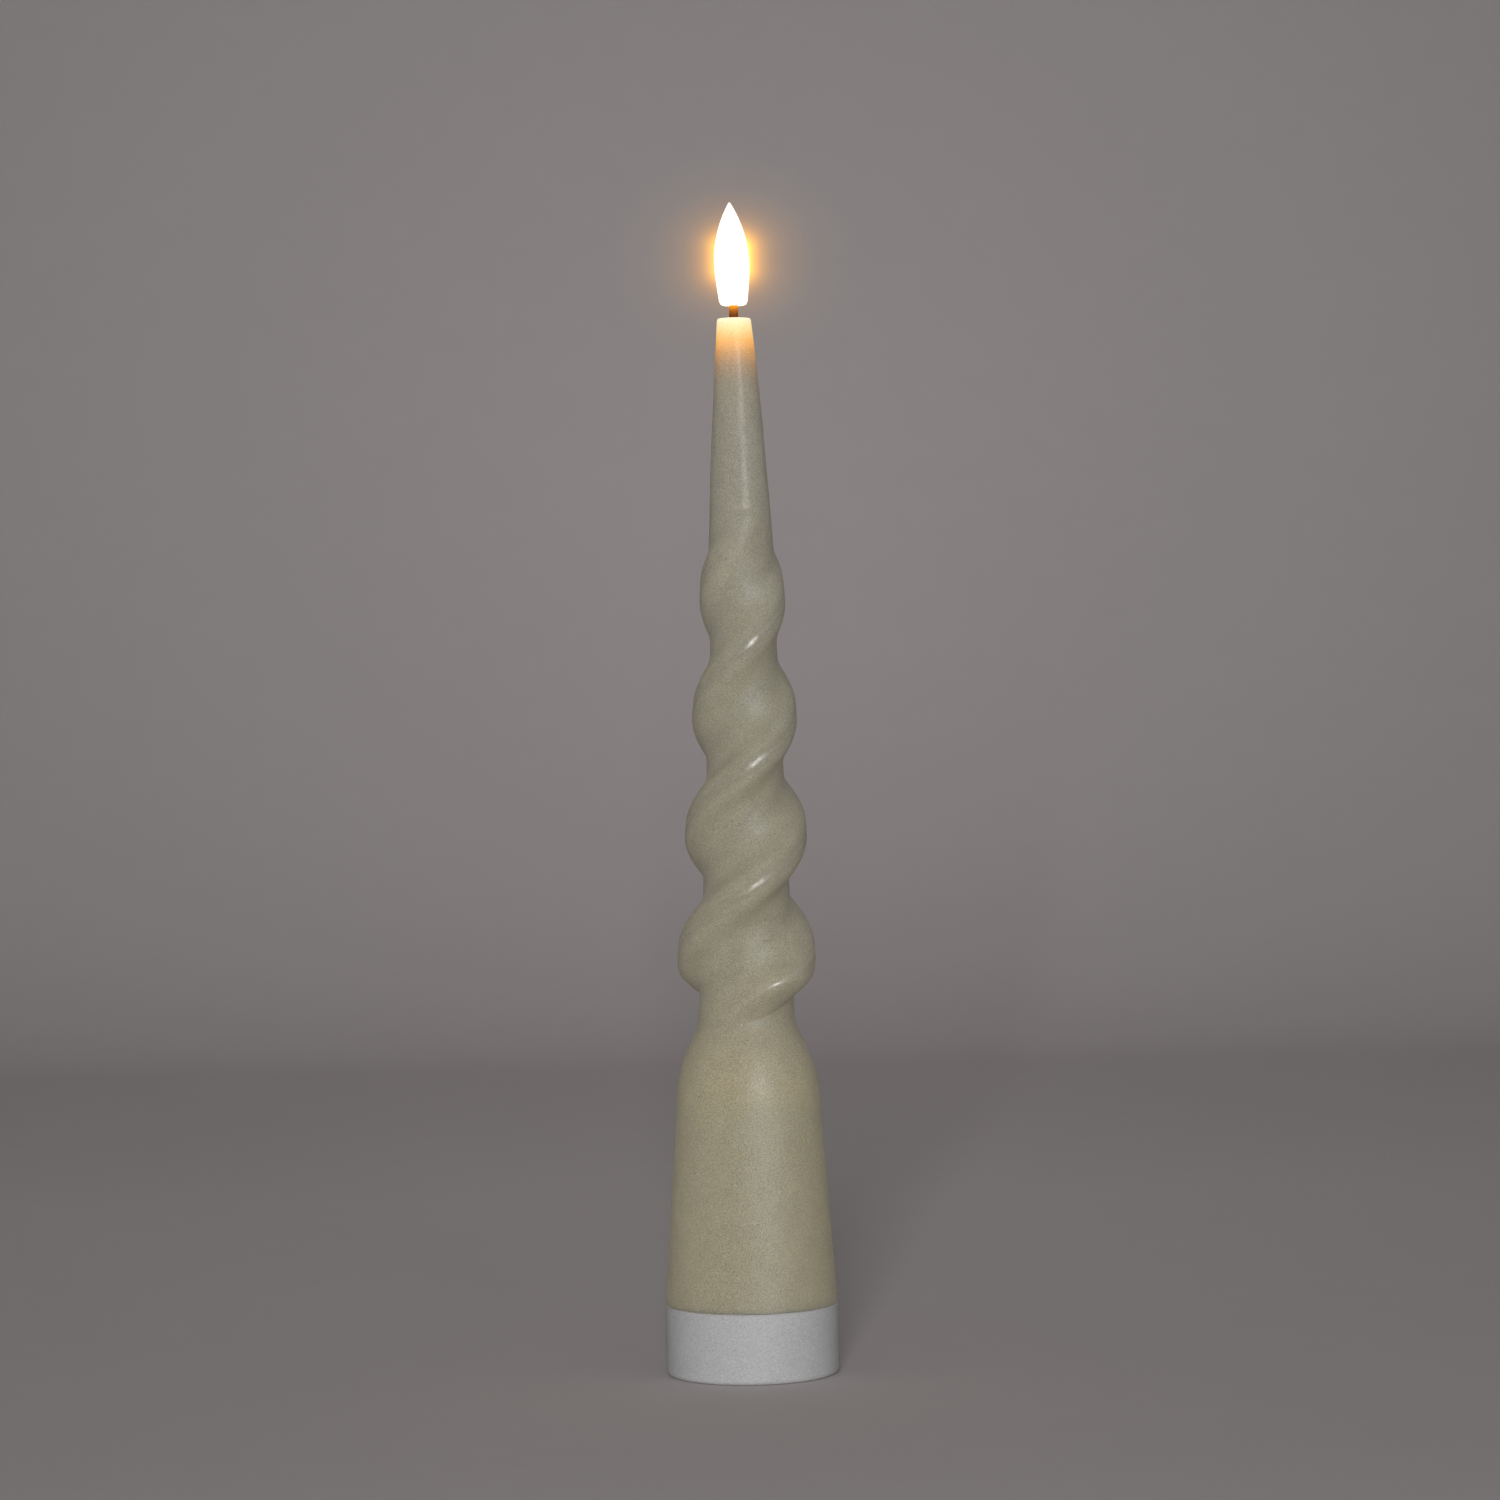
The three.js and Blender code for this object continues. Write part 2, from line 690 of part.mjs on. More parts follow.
function switchBody() {
  const top = switchBottom + switchHeight;
  const box = block(
    [-switchLength / 2, -switchWidth / 2, switchBottom],
    [switchLength / 2, switchWidth / 2, top],
  );
  const halfLength = (switchTravel + knobStemLength) / 2 + fit;
  const halfWidth = knobStemWidth / 2 + fit;
  const slot = block(
    [-halfLength, -halfWidth, switchBottom - past],
    [halfLength, halfWidth, switchBottom + knobStemHeight + fit],
  );
  return build([box], [slot]);
}

function switchSlider() {
  const shoulder = floorTop - fit;
  const knob = block(
    [-knobLength / 2, -knobWidth / 2, footHeight - knobShown],
    [knobLength / 2, knobWidth / 2, shoulder],
  );
  const stem = block(
    [-knobStemLength / 2, -knobStemWidth / 2, shoulder - fit],
    [knobStemLength / 2, knobStemWidth / 2, switchBottom + knobStemHeight],
  );
  return build([knob, stem]);
}

// The board fills the segment between the housing and the base's inner wall.
function circuitBoard() {
  const reach = Math.acos(boardEdgeY / boardRadius);
  const outline = new THREE.Shape();
  outline.absarc(0, 0, boardRadius, Math.PI / 2 - reach, Math.PI / 2 + reach);
  outline.closePath();
  const options = { depth: boardThickness, bevelEnabled: false, curveSegments: 16 };
  const board = new THREE.ExtrudeGeometry(outline, options);
  const [x, y] = boardScrewPlace;
  const radius = boardScrew.shank + screwClearance;
  const holes = [-1, 1].map((side) => post(radius, -past, boardThickness + past, side * x, y));
  return build([board], holes);
}

function timerChip() {
  const [length, width, height] = chipSize;
  const body = block([-length / 2, -width / 2, fit], [length / 2, width / 2, height + fit]);
  const legs = [];
  for (let i = 0; i < chipLegCount; i += 1) {
    const x = (i - (chipLegCount - 1) / 2) * chipLegPitch;
    const reach = width / 2 + chipLegReach;
    legs.push(block([x - chipLegSize / 2, -reach, fit], [x + chipLegSize / 2, reach, fit + chipLegSize]));
  }
  return build([body, ...legs]);
}

function resistor() {
  const [length, width, height] = resistorSize;
  return block([-length / 2, -width / 2, fit], [length / 2, width / 2, height + fit]);
}

// A pan-head screw that points along +Z, with its head's flat face at zero and a cross recess.
function screw({ head, headHeight, shank, length }) {
  const outline = new THREE.Path();
  outline.moveTo(0, -headHeight);
  outline.lineTo(head / 2, -headHeight);
  outline.lineTo(head, -headHeight / 2);
  outline.lineTo(head, 0);
  outline.lineTo(shank, 0);
  outline.lineTo(shank, length - shank);
  outline.lineTo(0, length);
  const arm = head / 2;
  const blade = head / 8;
  const recess = [
    block([-arm, -blade, -headHeight - past], [arm, blade, -headHeight / 2]),
    block([-blade, -arm, -headHeight - past], [blade, arm, -headHeight / 2]),
  ];
  return build([turned(outline.getPoints(1), aroundScrew)], recess);
}

// From the board, up beside the housing, in through the socket's notch and up the stem to the lamp.
function fineLead(side) {
  const x = (side * lampLegSpacing) / 2;
  const besideY = housingHalfWidth + 4 * fit;
  const notchZ = housingTop + socketStep / 2;
  const bend = 2;
  const points = [
    [x, besideY, boardTop + fit],
    [x, besideY, housingTop / 2],
    [x, besideY, notchZ - 2 * bend],
    [x, besideY - bend / 2, notchZ - bend / 4],
    [x, stemBore, notchZ],
    [x, bend / 4, notchZ + bend],
    [x, 0, notchZ + 2 * bend],
    [x, 0, (stemBottom + stemTop) / 2],
    [x, 0, lampBottom - lampLegLength - fit],
  ];
  return wire(points, fineLeadRadius, 30);
}

// From a contact's tab, over the housing's edge and down to the board.
function supplyLead(side) {
  const x = side * bayX;
  const boardX = side * (bayX + 2 * fit);
  const besideY = housingHalfWidth + fit + 2 * leadRadius;
  const overZ = housingTop + leadRadius + fit;
  const points = [
    [x, contactHalfWidth + fit + leadRadius / 2, overZ],
    [x, housingHalfWidth - leadRadius, overZ],
    [x, besideY, overZ - 2 * leadRadius],
    [x, besideY, housingTop - housingTop / 4],
    [boardX, besideY, housingTop / 3],
    [boardX, besideY, boardTop + fit],
  ];
  return wire(points, leadRadius, 16);
}

function finish(color, roughness, metalness = 0) {
  return new THREE.MeshStandardMaterial({ color, roughness, metalness });
}

const wax = () => finish(0xd8d1b0, 0.5);
const whitePlastic = () => finish(0xe6e6e6, 0.5);
const innerPlastic = () => finish(0xdedcd2, 0.6);
const glowingPlastic = () => {
  const material = finish(0xffe2b0, 0.35);
  material.emissive.set(0xffb45a);
  return material;
};
const steel = () => finish(0xb9bcc0, 0.3, 1);
const cellWrap = () => finish(0x2f5f8f, 0.4);

const candle = new THREE.Group();

function place(parent, name, geometry, material, position = [0, 0, 0]) {
  const mesh = new THREE.Mesh(geometry, material);
  mesh.name = name;
  mesh.position.set(...position);
  parent.add(mesh);
  return mesh;
}

place(candle, 'wax_shell', waxShell(), wax());
place(candle, 'flame_lens', flameLens(), glowingPlastic());
place(candle, 'wick_sleeve', wickSleeve(), finish(0x2a1c12, 0.7));
place(candle, 'led_diode', lamp(), finish(0xfff1c8, 0.2));
place(candle, 'led_lead_positive', fineLead(1), finish(0xa8321f, 0.5));
place(candle, 'led_lead_negative', fineLead(-1), finish(0x222222, 0.5));
place(candle, 'stem_tube', stemTube(), innerPlastic());

const power = new THREE.Group();
candle.add(power);
place(power, 'battery_housing', batteryHousing(), innerPlastic());
place(power, 'battery_left', cell(), cellWrap(), [-bayX, 0, leftCellBottom]);
const rightCellPlace = [bayX, 0, rightCellBottom + cellLength];
const rightCell = place(power, 'battery_right', cell(), cellWrap(), rightCellPlace);
rightCell.rotation.x = Math.PI;
place(power, 'positive_contact', topContact(false), steel(), [-bayX, 0, 0]);
place(power, 'negative_contact', topContact(true), steel(), [bayX, 0, 0]);
place(power, 'supply_lead_positive', supplyLead(-1), finish(0xa8321f, 0.5));
place(power, 'supply_lead_negative', supplyLead(1), finish(0x222222, 0.5));

const base = new THREE.Group();
candle.add(base);
place(base, 'base_shell', baseShell(), whitePlastic());
place(base, 'battery_door', batteryDoor(), whitePlastic());
place(base, 'door_contact', doorContact(), steel());
place(base, 'switch_body', switchBody(), finish(0x303236, 0.5), [0, switchY, 0]);
place(base, 'switch_slider', switchSlider(), finish(0x26282b, 0.5), [-switchTravel / 2, switchY, 0]);

const board = new THREE.Group();
board.position.z = boardTop;
base.add(board);
place(board, 'circuit_board', circuitBoard(), finish(0x2f6b45, 0.5), [0, 0, -boardThickness]);
place(board, 'timer_chip', timerChip(), finish(0x1b1c1e, 0.5), [...chipPlace, 0]);
place(board, 'resistor', resistor(), finish(0x1f2226, 0.5), [...resistorPlace, 0]);

for (const [word, side] of [['left', -1], ['right', 1]]) {
  const [baseX, baseY] = baseScrewPlace;
  const seat = footHeight + screwSink + baseScrew.headHeight;
  place(base, `base_screw_${word}`, screw(baseScrew), steel(), [side * baseX, baseY, seat]);
  const [boardX, boardY] = boardScrewPlace;
  const boardScrewPosition = [side * boardX, boardY, fit];
  const turnedScrew = place(board, `board_screw_${word}`, screw(boardScrew), steel(), boardScrewPosition);
  turnedScrew.rotation.x = Math.PI;
}

console.log(`Least gap between the turns of a coil: ${coilGap().toFixed(2)} mm`);

export default candle;
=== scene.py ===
import json
import math

import bmesh
import bpy
import numpy as np
from mathutils import Matrix, Vector


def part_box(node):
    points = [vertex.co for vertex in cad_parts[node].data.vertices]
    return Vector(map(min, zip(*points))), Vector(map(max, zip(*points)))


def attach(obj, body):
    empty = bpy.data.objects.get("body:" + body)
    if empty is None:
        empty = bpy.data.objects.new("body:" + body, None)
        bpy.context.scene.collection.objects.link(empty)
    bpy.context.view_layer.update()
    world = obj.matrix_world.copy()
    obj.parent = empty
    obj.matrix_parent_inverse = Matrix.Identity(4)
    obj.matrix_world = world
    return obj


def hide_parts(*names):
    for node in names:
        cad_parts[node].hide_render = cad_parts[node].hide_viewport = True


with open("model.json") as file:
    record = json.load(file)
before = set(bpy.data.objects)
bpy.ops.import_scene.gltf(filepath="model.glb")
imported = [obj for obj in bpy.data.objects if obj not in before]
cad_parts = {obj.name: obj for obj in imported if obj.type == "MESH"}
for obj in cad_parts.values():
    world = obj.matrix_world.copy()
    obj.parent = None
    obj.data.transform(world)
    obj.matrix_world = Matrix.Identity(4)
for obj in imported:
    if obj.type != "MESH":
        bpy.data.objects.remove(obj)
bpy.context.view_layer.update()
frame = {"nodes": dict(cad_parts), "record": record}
nodes = frame["nodes"]

MM = 0.001

# Places read from the frame
wax_low, wax_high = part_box("wax_shell")
flame_low, flame_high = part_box("flame_lens")
pin_low, pin_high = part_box("wick_sleeve")
cell_low, cell_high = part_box("battery_right")
wax_bottom = wax_low.z
wax_top = wax_high.z
cell_x = abs(cell_low.x + cell_high.x) / 2
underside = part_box("battery_door")[0].z / MM

# Wax skirt and shoulder, in millimetres as on the drawing of the wax
skirt_foot_radius = 18.8
wax_wall = 2.0
shoulder_radius = 15.75
shoulder_height = 61.0
shoulder_ease = 9.8
neck_radius = 10.63
neck_height = 78.0
neck_ease = 3.2

# Twist: two strands round a core
half_pitch = 26.1
first_bulge_height = 93.7
first_bulge_radius = 15.0
last_bulge_radius = 9.25
bulge_swell = 0.2
bulge_count = 4
last_neck_radius = 7.35
strand_offset = 0.44
strand_half_width = 0.54
strand_squareness = 2.4
crease_fillet = 3.0
strand_full_height = 88.0
strand_fade_start = 176.0
twist_top = 192.0
twist_lead_degrees = 11.0
twist_lead_end = 110.0
core_fade = (171.0, 183.0)

# Taper
tip_radius = 3.65
taper_top_radius = 6.94
taper_top_height = 184.6
taper_swell = 0.25
tip_edge = 0.5

# Inside of the wax
stem_bore = 3.3
pin_bore = 1.3
stem_bore_top = 206.3
dome_start = 56.0
dome_top = 65.5

bore_edge = 0.2

# Small faults of a poured candle
bow = 0.75
bow_start = 79.0
dent_depth = 0.07
foot_unevenness = 0.1
foot_unevenness_height = 2.5
foot_lap = 0.2
flame_lean = 0.5

# Gloss rubbed onto the wax. It lags behind the ridge, and is wider, where the twist starts.
crest_polish = 1.0
crest_width = 0.06
start_lag_degrees = 23.0
start_lag_heights = (84, 100)
start_crest_spread = 0.02
start_spread_heights = (86, 98)
taper_polish = 0.16
taper_blend = 12
shoulder_polish = 0.06
shoulder_blend = 4

# Tone of the wax: rougher and darker with painted shade on the crests, paler with painted light in the folds,
# and a painted glow of the flame's light under the flame
broad_crest_width = 0.5
painted_crest_shade = 0.14
painted_fold_light = 0.14
fold_reach = 3.0
painted_glow_bottom = 212

# The camera's eye and what the lamps are turned to, in metres
eye_side, eye_distance, eye_height = 0.0018, 1.0, 0.158
candle_middle = (0, 0, 0.13)

# Raised marks on the underside, in millimetres
mark_depth = 0.2
mark_sink = 0.05
words_y = 14.1
word_size = 1.35
arrow_x = 4.5

# How finely the skins are divided
wax_columns = 160
skirt_rows, shoulder_rows, twist_rows, taper_rows, dome_rows = 46, 28, 260, 42, 13
flame_columns = 96
pin_columns = 48


def material(name):
    """An empty material with its principled shader."""
    made = bpy.data.materials.new(name)
    made.use_nodes = True
    return made, made.node_tree, made.node_tree.nodes["Principled BSDF"]


def node(tree, kind, inputs=None, **settings):
    """A node with its settings, whose inputs hold values or follow other sockets."""
    made = tree.nodes.new(kind)
    for key, value in settings.items():
        setattr(made, key, value)
    for key, value in (inputs or {}).items():
        if isinstance(value, bpy.types.NodeSocket):
            tree.links.new(value, made.inputs[key])
        else:
            made.inputs[key].default_value = value
    return made


def math_node(tree, operation, *values):
    """The output of a Math node on values or sockets."""
    return node(tree, "ShaderNodeMath", dict(enumerate(values)), operation=operation).outputs[0]


def vector_node(tree, operation, *values, scale=None, output=0):
    """An output of a Vector Math node on values or sockets: a vector, or a length where it measures one."""
    inputs = dict(enumerate(values))
    if scale is not None:
        inputs["Scale"] = scale
    return node(tree, "ShaderNodeVectorMath", inputs, operation=operation).outputs[output]


def object_place(tree):
    """The point on the piece, in metres in the frame."""
    return node(tree, "ShaderNodeTexCoord").outputs["Object"]


def place_parts(tree):
    """The X, Y and Z of the point on the piece."""
    return node(tree, "ShaderNodeSeparateXYZ", {"Vector": object_place(tree)}).outputs


def length_of(tree, **parts):
    """The length of a vector of which some parts are given and the others are 0."""
    vector = node(tree, "ShaderNodeCombineXYZ", parts).outputs[0]
    return vector_node(tree, "LENGTH", vector, output="Value")


def noise(tree, place, scale, detail):
    """Soft noise round a half, at a scale per metre."""
    inputs = {"Vector": place, "Scale": scale, "Detail": detail}
    return node(tree, "ShaderNodeTexNoise", inputs).outputs["Fac"]


def kept_mark(tree, name):
    """The value that the mesh keeps for each point under a name."""
    return node(tree, "ShaderNodeAttribute", attribute_name=name).outputs["Fac"]


def colour_steps(tree, factor, stops):
    """A colour ramp with a stop for each pair of place and colour."""
    ramp = node(tree, "ShaderNodeValToRGB", {"Fac": factor})
    elements = ramp.color_ramp.elements
    while len(elements) < len(stops):
        elements.new(0.5)
    for element, (place, colour) in zip(elements, stops):
        element.position = place
        element.color = (*colour, 1)
    return ramp.outputs["Color"]


def share_between(tree, value, low, high):
    """How far a value lies from low to high, from 0 to 1."""
    inputs = {"Value": value, "From Min": low, "From Max": high}
    return node(tree, "ShaderNodeMapRange", inputs).outputs["Result"]


def grain_group():
    """A fine grain: a fine noise plus a share of a broad one, less what both come to on average, times the
    contrast and plus 1, shades the colour. The fine noise is also the height."""
    broad_fineness, broad_share, average = 0.06, 0.16, 0.58
    group = bpy.data.node_groups.new("fine_grain", "ShaderNodeTree")
    face = group.interface
    face.new_socket("Place", in_out="INPUT", socket_type="NodeSocketVector")
    face.new_socket("Colour", in_out="INPUT", socket_type="NodeSocketColor")
    face.new_socket("Fineness", in_out="INPUT", socket_type="NodeSocketFloat")
    face.new_socket("Contrast", in_out="INPUT", socket_type="NodeSocketFloat")
    face.new_socket("Colour", in_out="OUTPUT", socket_type="NodeSocketColor")
    face.new_socket("Height", in_out="OUTPUT", socket_type="NodeSocketFloat")
    given = group.nodes.new("NodeGroupInput").outputs
    result = group.nodes.new("NodeGroupOutput")
    fine = noise(group, given["Place"], given["Fineness"], 2.0)
    broad_scale = math_node(group, "MULTIPLY", given["Fineness"], broad_fineness)
    broad = noise(group, given["Place"], broad_scale, 3.0)
    both = math_node(group, "MULTIPLY_ADD", broad, broad_share, fine)
    centred = math_node(group, "SUBTRACT", both, average)
    tone = math_node(group, "MULTIPLY_ADD", centred, given["Contrast"], 1.0)
    group.links.new(vector_node(group, "MULTIPLY", given["Colour"], tone), result.inputs["Colour"])
    group.links.new(fine, result.inputs["Height"])
    return group


fine_grain = grain_group()


def grained(tree, shader, colour, fineness, contrast, bump_mm, bump_strength=1.0):
    """Gives a shader a colour and a bump with the fine grain on it."""
    grain = node(tree, "ShaderNodeGroup", node_tree=fine_grain)
    if isinstance(colour, bpy.types.NodeSocket):
        tree.links.new(colour, grain.inputs["Colour"])
    else:
        grain.inputs["Colour"].default_value = (*colour, 1.0)
    tree.links.new(object_place(tree), grain.inputs["Place"])
    grain.inputs["Fineness"].default_value = fineness
    grain.inputs["Contrast"].default_value = contrast
    tree.links.new(grain.outputs["Colour"], shader.inputs["Base Color"])
    inputs = {"Height": grain.outputs["Height"], "Distance": bump_mm * MM, "Strength": bump_strength}
    bump = node(tree, "ShaderNodeBump", inputs)
    tree.links.new(bump.outputs["Normal"], shader.inputs["Normal"])


def wax_material():
    """Cast wax: yellower and brighter in the skirt, greyer and darker above. A painted glow stands for the
    flame's light in the wax below the flame, and a faint painted glow lies over all of it. Painted shade
    darkens the crests and painted light brightens the folds. It is rougher along the crests and glossy in
    patches where it was rubbed."""
    least_roughness, crest_roughness = 0.46, 0.28
    patch_scale, patch_start, patch_full = 900.0, 0.3, 0.55
    made, tree, shader = material("cast_wax")
    height = place_parts(tree)["Z"]
    up = share_between(tree, height, wax_bottom, wax_top)
    colour = colour_steps(tree, up, [
        (0.00, (0.47, 0.40, 0.26)),
        (0.22, (0.46, 0.405, 0.27)),
        (0.32, (0.395, 0.362, 0.268)),
        (0.60, (0.36, 0.337, 0.257)),
        (0.85, (0.355, 0.333, 0.268)),
    ])
    # Painted shade darkens the crests and painted light brightens the folds.
    crest_shaded_tone = math_node(tree, "MULTIPLY_ADD", kept_mark(tree, "crest_share"), -painted_crest_shade, 1.0)
    tone = math_node(tree, "MULTIPLY_ADD", kept_mark(tree, "fold_share"), painted_fold_light, crest_shaded_tone)
    shade_painted_colour = vector_node(tree, "MULTIPLY", colour, tone)
    grained(tree, shader, shade_painted_colour, fineness=3700.0, contrast=1.55, bump_mm=0.08, bump_strength=0.8)
    matt = kept_mark(tree, "matt_share")
    roughness = math_node(tree, "MULTIPLY_ADD", matt, crest_roughness, least_roughness)
    tree.links.new(roughness, shader.inputs["Roughness"])
    # Painted glow: emission that stands for the flame's light in the wax under the flame, and a faint glow
    # over all the wax below that.
    near_top = share_between(tree, height, painted_glow_bottom * MM, wax_top)
    painted_glow = colour_steps(tree, near_top, [
        (0.00, (0.05, 0.046, 0.034)),
        (0.28, (0.08, 0.055, 0.030)),
        (0.46, (0.20, 0.085, 0.020)),
        (0.60, (0.48, 0.18, 0.01)),
        (0.75, (0.92, 0.40, 0.03)),
        (0.88, (1.0, 0.66, 0.24)),
        (1.00, (1.0, 0.84, 0.52)),
    ])
    tree.links.new(painted_glow, shader.inputs["Emission Color"])
    shader.inputs["Emission Strength"].default_value = 0.9
    shader.inputs["IOR"].default_value = 1.55
    shader.inputs["Specular Tint"].default_value = (0.8, 0.94, 1.0, 1.0)
    shader.inputs["Subsurface Weight"].default_value = 1.0
    shader.inputs["Subsurface Radius"].default_value = (1.0, 0.92, 0.75)
    shader.inputs["Subsurface Scale"].default_value = 14.0 * MM
    patches = share_between(tree, noise(tree, object_place(tree), patch_scale, 2.0), patch_start, patch_full)
    polish = math_node(tree, "MULTIPLY", kept_mark(tree, "ridge_polish"), patches)
    tree.links.new(polish, shader.inputs["Coat Weight"])
    shader.inputs["Coat Roughness"].default_value = 0.36
    shader.inputs["Coat IOR"].default_value = 2.0
    return made


def flame_material():
    """Translucent moulding with the lamp on behind it."""
    made, tree, shader = material("lit_flame")
    grained(tree, shader, (1.0, 0.9, 0.7), fineness=1500.0, contrast=0.1, bump_mm=0.02, bump_strength=0.2)
    shader.inputs["Roughness"].default_value = 0.35
    shader.inputs["Emission Color"].default_value = (1.0, 0.92, 0.78, 1.0)
    shader.inputs["Emission Strength"].default_value = 1.6
    return made


def pin_material():
    """Dark brown coating, with painted light where the flame's light falls on it: amber colour and a painted
    glow.
    """
    made, tree, shader = material("wick_pin")
    near_flame = share_between(tree, place_parts(tree)["Z"], wax_top, flame_low.z)
    colour = colour_steps(tree, near_flame, [
        (0.2, (0.06, 0.02, 0.003)),
        (1.0, (0.3, 0.12, 0.01)),
    ])
    grained(tree, shader, colour, fineness=2000.0, contrast=0.6, bump_mm=0.05)
    shader.inputs["Specular IOR Level"].default_value = 0.2
    # Painted glow of the flame's light on the pin's top.
    painted_glow = colour_steps(tree, near_flame, [
        (0.3, (0.10, 0.02, 0.0)),
        (0.6, (0.25, 0.05, 0.0)),
        (1.0, (0.8, 0.26, 0.0)),
    ])
    tree.links.new(painted_glow, shader.inputs["Emission Color"])
    shader.inputs["Emission Strength"].default_value = 1.0
    shader.inputs["Roughness"].default_value = 0.6
    return made


def cell_material():
    """The blue wrap of a cell, and the bare nickel of its ends inside the wrap's rolled edge."""
    wrap_start, wrap_full = 4.3 * MM, 4.4 * MM
    made, tree, shader = material("cell_wrap")
    place = place_parts(tree)
    off_axis = math_node(tree, "SUBTRACT", math_node(tree, "ABSOLUTE", place["X"]), cell_x)
    wrapped = share_between(tree, length_of(tree, X=off_axis, Y=place["Y"]), wrap_start, wrap_full)
    colour = colour_steps(tree, wrapped, [
        (0.0, (0.62, 0.6, 0.56)),
        (1.0, (0.045, 0.13, 0.28)),
    ])
    grained(tree, shader, colour, fineness=700.0, contrast=0.1, bump_mm=0.01, bump_strength=0.5)
    tree.links.new(math_node(tree, "SUBTRACT", 1.0, wrapped), shader.inputs["Metallic"])
    shader.inputs["Roughness"].default_value = 0.3
    shader.inputs["Coat Weight"].default_value = 0.5
    return made


def plain_material(
    name, colour, roughness, fineness=1500.0, contrast=0.12, bump_mm=0.03, metallic=0.0, coat=0.0
):
    """A moulded, printed or plated finish with the fine grain."""
    made, tree, shader = material(name)
    grained(tree, shader, colour, fineness, contrast, bump_mm, bump_strength=0.5)
    shader.inputs["Roughness"].default_value = roughness
    shader.inputs["Metallic"].default_value = metallic
    shader.inputs["Coat Weight"].default_value = coat
    return made


finishes = {
    "wax": wax_material(),
    "flame": flame_material(),
    "wick": pin_material(),
    "white_plastic": plain_material(
        "white_moulding", (0.58, 0.58, 0.585), 0.55, fineness=3000.0, contrast=0.75, bump_mm=0.05
    ),
    "inner_plastic": plain_material("inner_moulding", (0.55, 0.54, 0.5), 0.5),
    "black_plastic": plain_material("black_moulding", (0.02, 0.02, 0.022), 0.45),
    "contact": plain_material(
        "nickel_plate", (0.62, 0.6, 0.56), 0.28, fineness=900.0, contrast=0.15, bump_mm=0.01, metallic=1.0
    ),
    "screw": plain_material(
        "zinc_plate", (0.52, 0.52, 0.54), 0.35, fineness=900.0, contrast=0.25, bump_mm=0.02, metallic=1.0
    ),
    "cell": cell_material(),
    "red_lead": plain_material("red_sleeve", (0.45, 0.035, 0.02), 0.45),
    "black_lead": plain_material("black_sleeve", (0.02, 0.02, 0.02), 0.45),
    "lamp": plain_material(
        "lamp_epoxy", (0.95, 0.88, 0.62), 0.15, fineness=600.0, contrast=0.05, bump_mm=0.01, coat=1.0
    ),
    "board": plain_material(
        "board_resist", (0.03, 0.15, 0.06), 0.4, fineness=500.0, contrast=0.25, bump_mm=0.02, coat=0.3
    ),
    "chip": plain_material("chip_resin", (0.02, 0.02, 0.022), 0.6),
}


def finish_piece(piece, body, slot_name, replaced=()):
    """Puts a piece's finish on it, and says what it rides on and stands for."""
    piece.data.materials.clear()
    piece.data.materials.append(finishes[slot_name])
    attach(piece, body)
    if replaced:
        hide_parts(*replaced)
    return piece


def link_mesh(name, mesh):
    """An object at the origin that shows a mesh."""
    piece = bpy.data.objects.new(name, mesh)
    bpy.context.scene.collection.objects.link(piece)
    return piece


def smooth_by_angle(mesh, degrees):
    """Smooth shading, except over edges where the faces meet at more than an angle."""
    mesh.shade_smooth()
    mesh.set_sharp_from_angle(angle=math.radians(degrees))


def grid_mesh(name, rows, turn_back=0):
    """A closed skin over rows of points that each run once round. Each point joins its neighbours in its
    row and in the next one, and the last row joins the first, whose columns lie turn_back places on. Points
    that coincide at a pole are merged."""
    merge_distance, smooth_degrees = 1e-7, 38.0
    count, around = rows.shape[:2]
    mesh = bpy.data.meshes.new(name)
    row = np.arange(count)[:, None]
    column = np.arange(around)[None, :]
    ahead = (row + 1) % count
    shift = np.where(row + 1 == count, turn_back, 0)
    next_column = (column + 1) % around
    corners = np.stack([
        row * around + column,
        row * around + next_column,
        ahead * around + (next_column + shift) % around,
        ahead * around + (column + shift) % around,
    ], axis=-1).reshape(-1, 4)
    points = rows.reshape(-1, 3)
    mesh.vertices.add(len(points))
    mesh.vertices.foreach_set("co", points.astype(np.float32).ravel())
    mesh.loops.add(corners.size)
    mesh.loops.foreach_set("vertex_index", corners.astype(np.int32).ravel())
    mesh.polygons.add(len(corners))
    mesh.polygons.foreach_set("loop_start", np.arange(0, corners.size, 4, dtype=np.int32))
    mesh.update(calc_edges=True)
    shape = bmesh.new()
    shape.from_mesh(mesh)
    bmesh.ops.remove_doubles(shape, verts=shape.verts, dist=merge_distance)
    if shape.calc_volume(signed=True) < 0:
        bmesh.ops.reverse_faces(shape, faces=shape.faces)
    shape.to_mesh(mesh)
    shape.free()
    smooth_by_angle(mesh, smooth_degrees)
    return mesh


def turned_rows(profile, columns):
    """Rows of a lathe: each point of radius and height of the profile carried round the axis."""
    angle = np.linspace(0, 2 * np.pi, columns, endpoint=False)
    radius, height = np.asarray(profile, float).T
    rows = np.empty((len(radius), columns, 3))
    rows[..., 0] = radius[:, None] * np.cos(angle)
    rows[..., 1] = radius[:, None] * np.sin(angle)
    rows[..., 2] = height[:, None]
    return rows * MM


def bezier(start, first, second, end, count):
    """Points along a cubic curve, without its start: the four corners, weighted by the four terms that
    ((1 - t) + t) cubed multiplies out to."""
    t = np.linspace(0, 1, count + 1)[1:, None]
    corners = [np.asarray(corner, float) for corner in (start, first, second, end)]
    weights = [(1 - t) ** 3, 3 * t * (1 - t) ** 2, 3 * t * t * (1 - t), t ** 3]
    return sum(weight * corner for weight, corner in zip(weights, corners))


